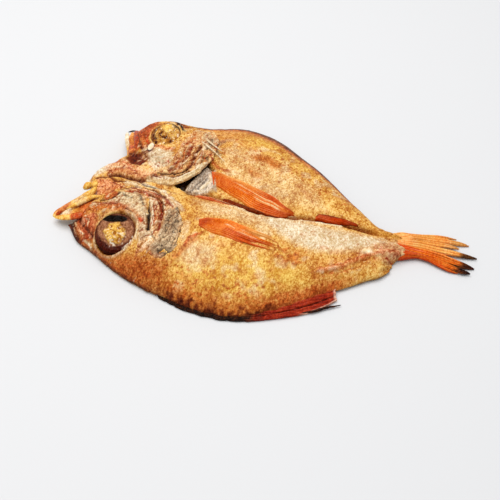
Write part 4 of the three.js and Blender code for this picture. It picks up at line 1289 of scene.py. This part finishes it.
def make_tail_fin():
    """The tail fin: rays in folded bundles that part towards their charred tips."""
    # each bundle: share of the root where it ends, x and y of its tip, how charred that is,
    # and how far the gap beside it runs in
    bundles = [(0.1, 104.5, -7.6, 0.2, 0.12), (0.3, 110.6, -7.0, 1.0, 0.1), (0.5, 112.4, -2.6, 0.95, 0.34),
               (0.64, 113.2, 4.4, 0.9, 0.34), (0.76, 103.5, 8.4, 0.1, 0.3), (0.9, 108.4, 12.6, 0.25, 0.16),
               (1.0, 101.5, 15.2, 0.2, 0.1)]
    ends = np.array([b[0] for b in bundles])
    starts = np.r_[0, ends[:-1]]
    rays = 14
    mesh, s, t, top = blank("tail_fin", 200, 17 * rays)
    k = np.clip(np.searchsorted(ends, t), 0, len(bundles) - 1)
    tip_x, tip_y, char, gap = (np.array([b[n] for b in bundles])[k] for n in (1, 2, 3, 4))
    across = (t - starts[k]) / (ends[k] - starts[k]) * 2 - 1
    border = smooth(np.abs(across), 0.8, 1.0)
    inner = (t > 0.004) & (t < 0.996)
    out = s * (1 - np.where(inner, gap, 0.05) * border - 0.08 * across ** 2)
    root_x = ROOT_X - 1 - 7 * smooth(t, 0.7, 1)
    x = root_x + (tip_x - root_x) * out
    root_y = line((0, -8), (0.5, 0), (0.8, 5.4), (1, 9.6))(t)
    waist_y = line((0, -4.2), (0.3, -2), (0.5, 2), (0.7, 6.6), (1, 11.6))(t)
    far_y = line((0, -6.6), (0.3, -3.6), (0.5, 1.6), (0.7, 8), (1, 15))(t)
    a, b, c = smooth(out, 0, 0.4), smooth(out, 0.3, 0.85), smooth(out, 0.5, 1)
    y = (root_y * (1 - a) + waist_y * a) * (1 - b) + far_y * b
    half = line((0, 1.0), (0.3, 1.9), (0.5, 1.9), (0.64, 1.1), (0.76, 0.9), (0.9, 1.3), (1, 0.8))(ends[k])
    y = y * (1 - c) + (tip_y + across * half * (1 - 0.62 * smooth(out, 0.85, 1))) * c
    y += 0.25 * noise(x, k * 7.0, 8.0, 402)
    ridge = np.abs(np.sin(math.pi * rays * t + 0.4 * noise(x, t * 6, 9.0, 406))) ** 0.7
    segments = 0.08 * np.sin(x * 3.4 + 2 * k) * smooth(out, 0.2, 0.6)
    thick = line((0, 5.4), (0.12, 4.2), (0.3, 2.0), (0.6, 0.9), (1, 0.5))(out)
    edge = np.sqrt(np.clip(1 - (2 * t - 1) ** 6, 0, 1)) * np.sqrt(1 - 0.9 * border * smooth(out, 0.4, 0.7))
    bottom = line((0, 0.6), (0.3, 1.6), (0.7, 1.5), (1, 0.5))(out)
    bottom = bottom + 0.4 * np.sin(k * 2.1) * smooth(out, 0.5, 1)
    thick *= 1 - 0.6 * smooth(t, 0.6, 0.9) * (1 - smooth(out, 0.08, 0.24))
    relief = (0.6 * ridge + segments) * (0.5 + 0.5 * smooth(out, 0.05, 0.3))
    z = np.clip(bottom, 0, None) + np.where(top, (thick + relief) * (0.3 + 0.7 * edge), 0.0)
    lobe = smooth(t, 0.44, 0.52)  # 0 on the lower, redder lobe and 1 on the upper one
    seams = smooth(noise(x, t * rays, 9.0, 408), -0.5, 0.2)
    masks = {
        "dark": np.maximum(char * smooth(out + 0.05 * noise(x, t * 40, 3.0, 401), 0.72, 0.88),
                           0.28 * (1 - lobe) * smooth(noise(0.5 * x, t * 240, 9.0, 407), 0.2, 0.6)),
        "tan": lobe * (0.72 + 0.3 * noise(x, t * 9, 5.0, 403)),
        "streak": 0.15 * lobe * smooth(noise(x, t * rays, 6.0, 404), 0.0, 0.6) * ridge,
        "red": np.clip((1 - 0.5 * lobe) * (1 - ridge) ** 1.2 + (1 - lobe) * 0.7 * seams, 0, 1),
        "pink": np.maximum((1 - lobe) * 0.8 * smooth(noise(0.5 * x, t * 240, 9.0, 405), 0.0, 0.4),
                           0.7 * (1 - smooth(out, 0.05, 0.14)) * smooth(-t, -0.7, -0.3)),
    }
    shape(mesh, np.stack([x, y, z], 1), masks)
    piece("tail_fin_rays", mesh, "fin", [FIN], "tail_fin")


def make_spines():
    """Loose pale spines that stand out behind the left gill cover."""
    spines = [
        ([(-48, 33, 20), (-40, 27.4, 20.6), (-30, 20.6, 19.6)], line((0, 0.4), (0.5, 0.5), (1, 0.12))),
        ([(-47, 37, 19), (-40, 31.6, 20), (-34, 28.6, 19.4)], line((0, 0.5), (0.5, 0.5), (1, 0.15))),
    ]
    flat = 0.8
    limbs = [(path, radius, flat, {"pale": everywhere(0.95)}) for path, radius in spines]
    piece("left_cover_spines", join_limbs("spines", limbs), "gill_cover", [COVER])


# ---------------------------------------------------------------- stage, light and camera


def make_stage():
    """A plain pale floor, which isn't part of the fish."""
    half_width = 3
    bm = bmesh.new()
    bmesh.ops.create_grid(bm, x_segments=1, y_segments=1, size=half_width)
    mesh = bpy.data.meshes.new("floor")
    bm.to_mesh(mesh)
    bm.free()
    floor = bpy.data.objects.new("floor", mesh)
    bpy.context.scene.collection.objects.link(floor)
    material = bpy.data.materials.new("pale_floor")
    material.use_nodes = True
    shader = material.node_tree.nodes["Principled BSDF"]
    shader.inputs["Base Color"].default_value = (0.625, 0.63, 0.64, 1)
    shader.inputs["Roughness"].default_value = 0.7
    mesh.materials.append(material)


def aim(obj, place, target):
    """Puts a light or a camera in the scene, turned towards a target."""
    obj.location = place
    obj.rotation_euler = (Vector(target) - Vector(place)).to_track_quat("-Z", "Y").to_euler()
    bpy.context.scene.collection.objects.link(obj)


def make_lights():
    """A bright even room and one large soft window high over the fish's head."""
    world = bpy.data.worlds.new("soft_room")
    world.use_nodes = True
    background = world.node_tree.nodes["Background"]
    background.inputs["Color"].default_value = (0.97, 0.98, 1.0, 1)
    background.inputs["Strength"].default_value = 0.58
    bpy.context.scene.world = world
    window = bpy.data.lights.new("window", "AREA")
    window.shape = "RECTANGLE"
    window.size, window.size_y = 1.1, 0.9
    window.energy = 13.0
    window.color = (1.0, 0.985, 0.965)
    aim(bpy.data.objects.new("window", window), (-0.25, 0.12, 1.04), (0, 0, 0))


def make_camera():
    """The camera, about 50 degrees above the floor, on the right side of the fish."""
    camera = bpy.data.cameras.new("camera")
    camera.sensor_width = 36
    camera.lens = 52.85
    obj = bpy.data.objects.new("camera", camera)
    aim(obj, (0.0645, -0.2642, 0.3011), (-0.0041, -0.0211, 0))
    bpy.context.scene.camera = obj
    bpy.context.scene.view_settings.view_transform = "Standard"


make_body()
make_gill_covers()
for side_name in EYE:
    make_eye(side_name)
make_eye_bead()
make_jaws()
make_pectoral_fins()
make_belly_fins()
make_dorsal_fin()
make_dorsal_filament()
make_tail_fin()
make_spines()
make_stage()
make_lights()
make_camera()
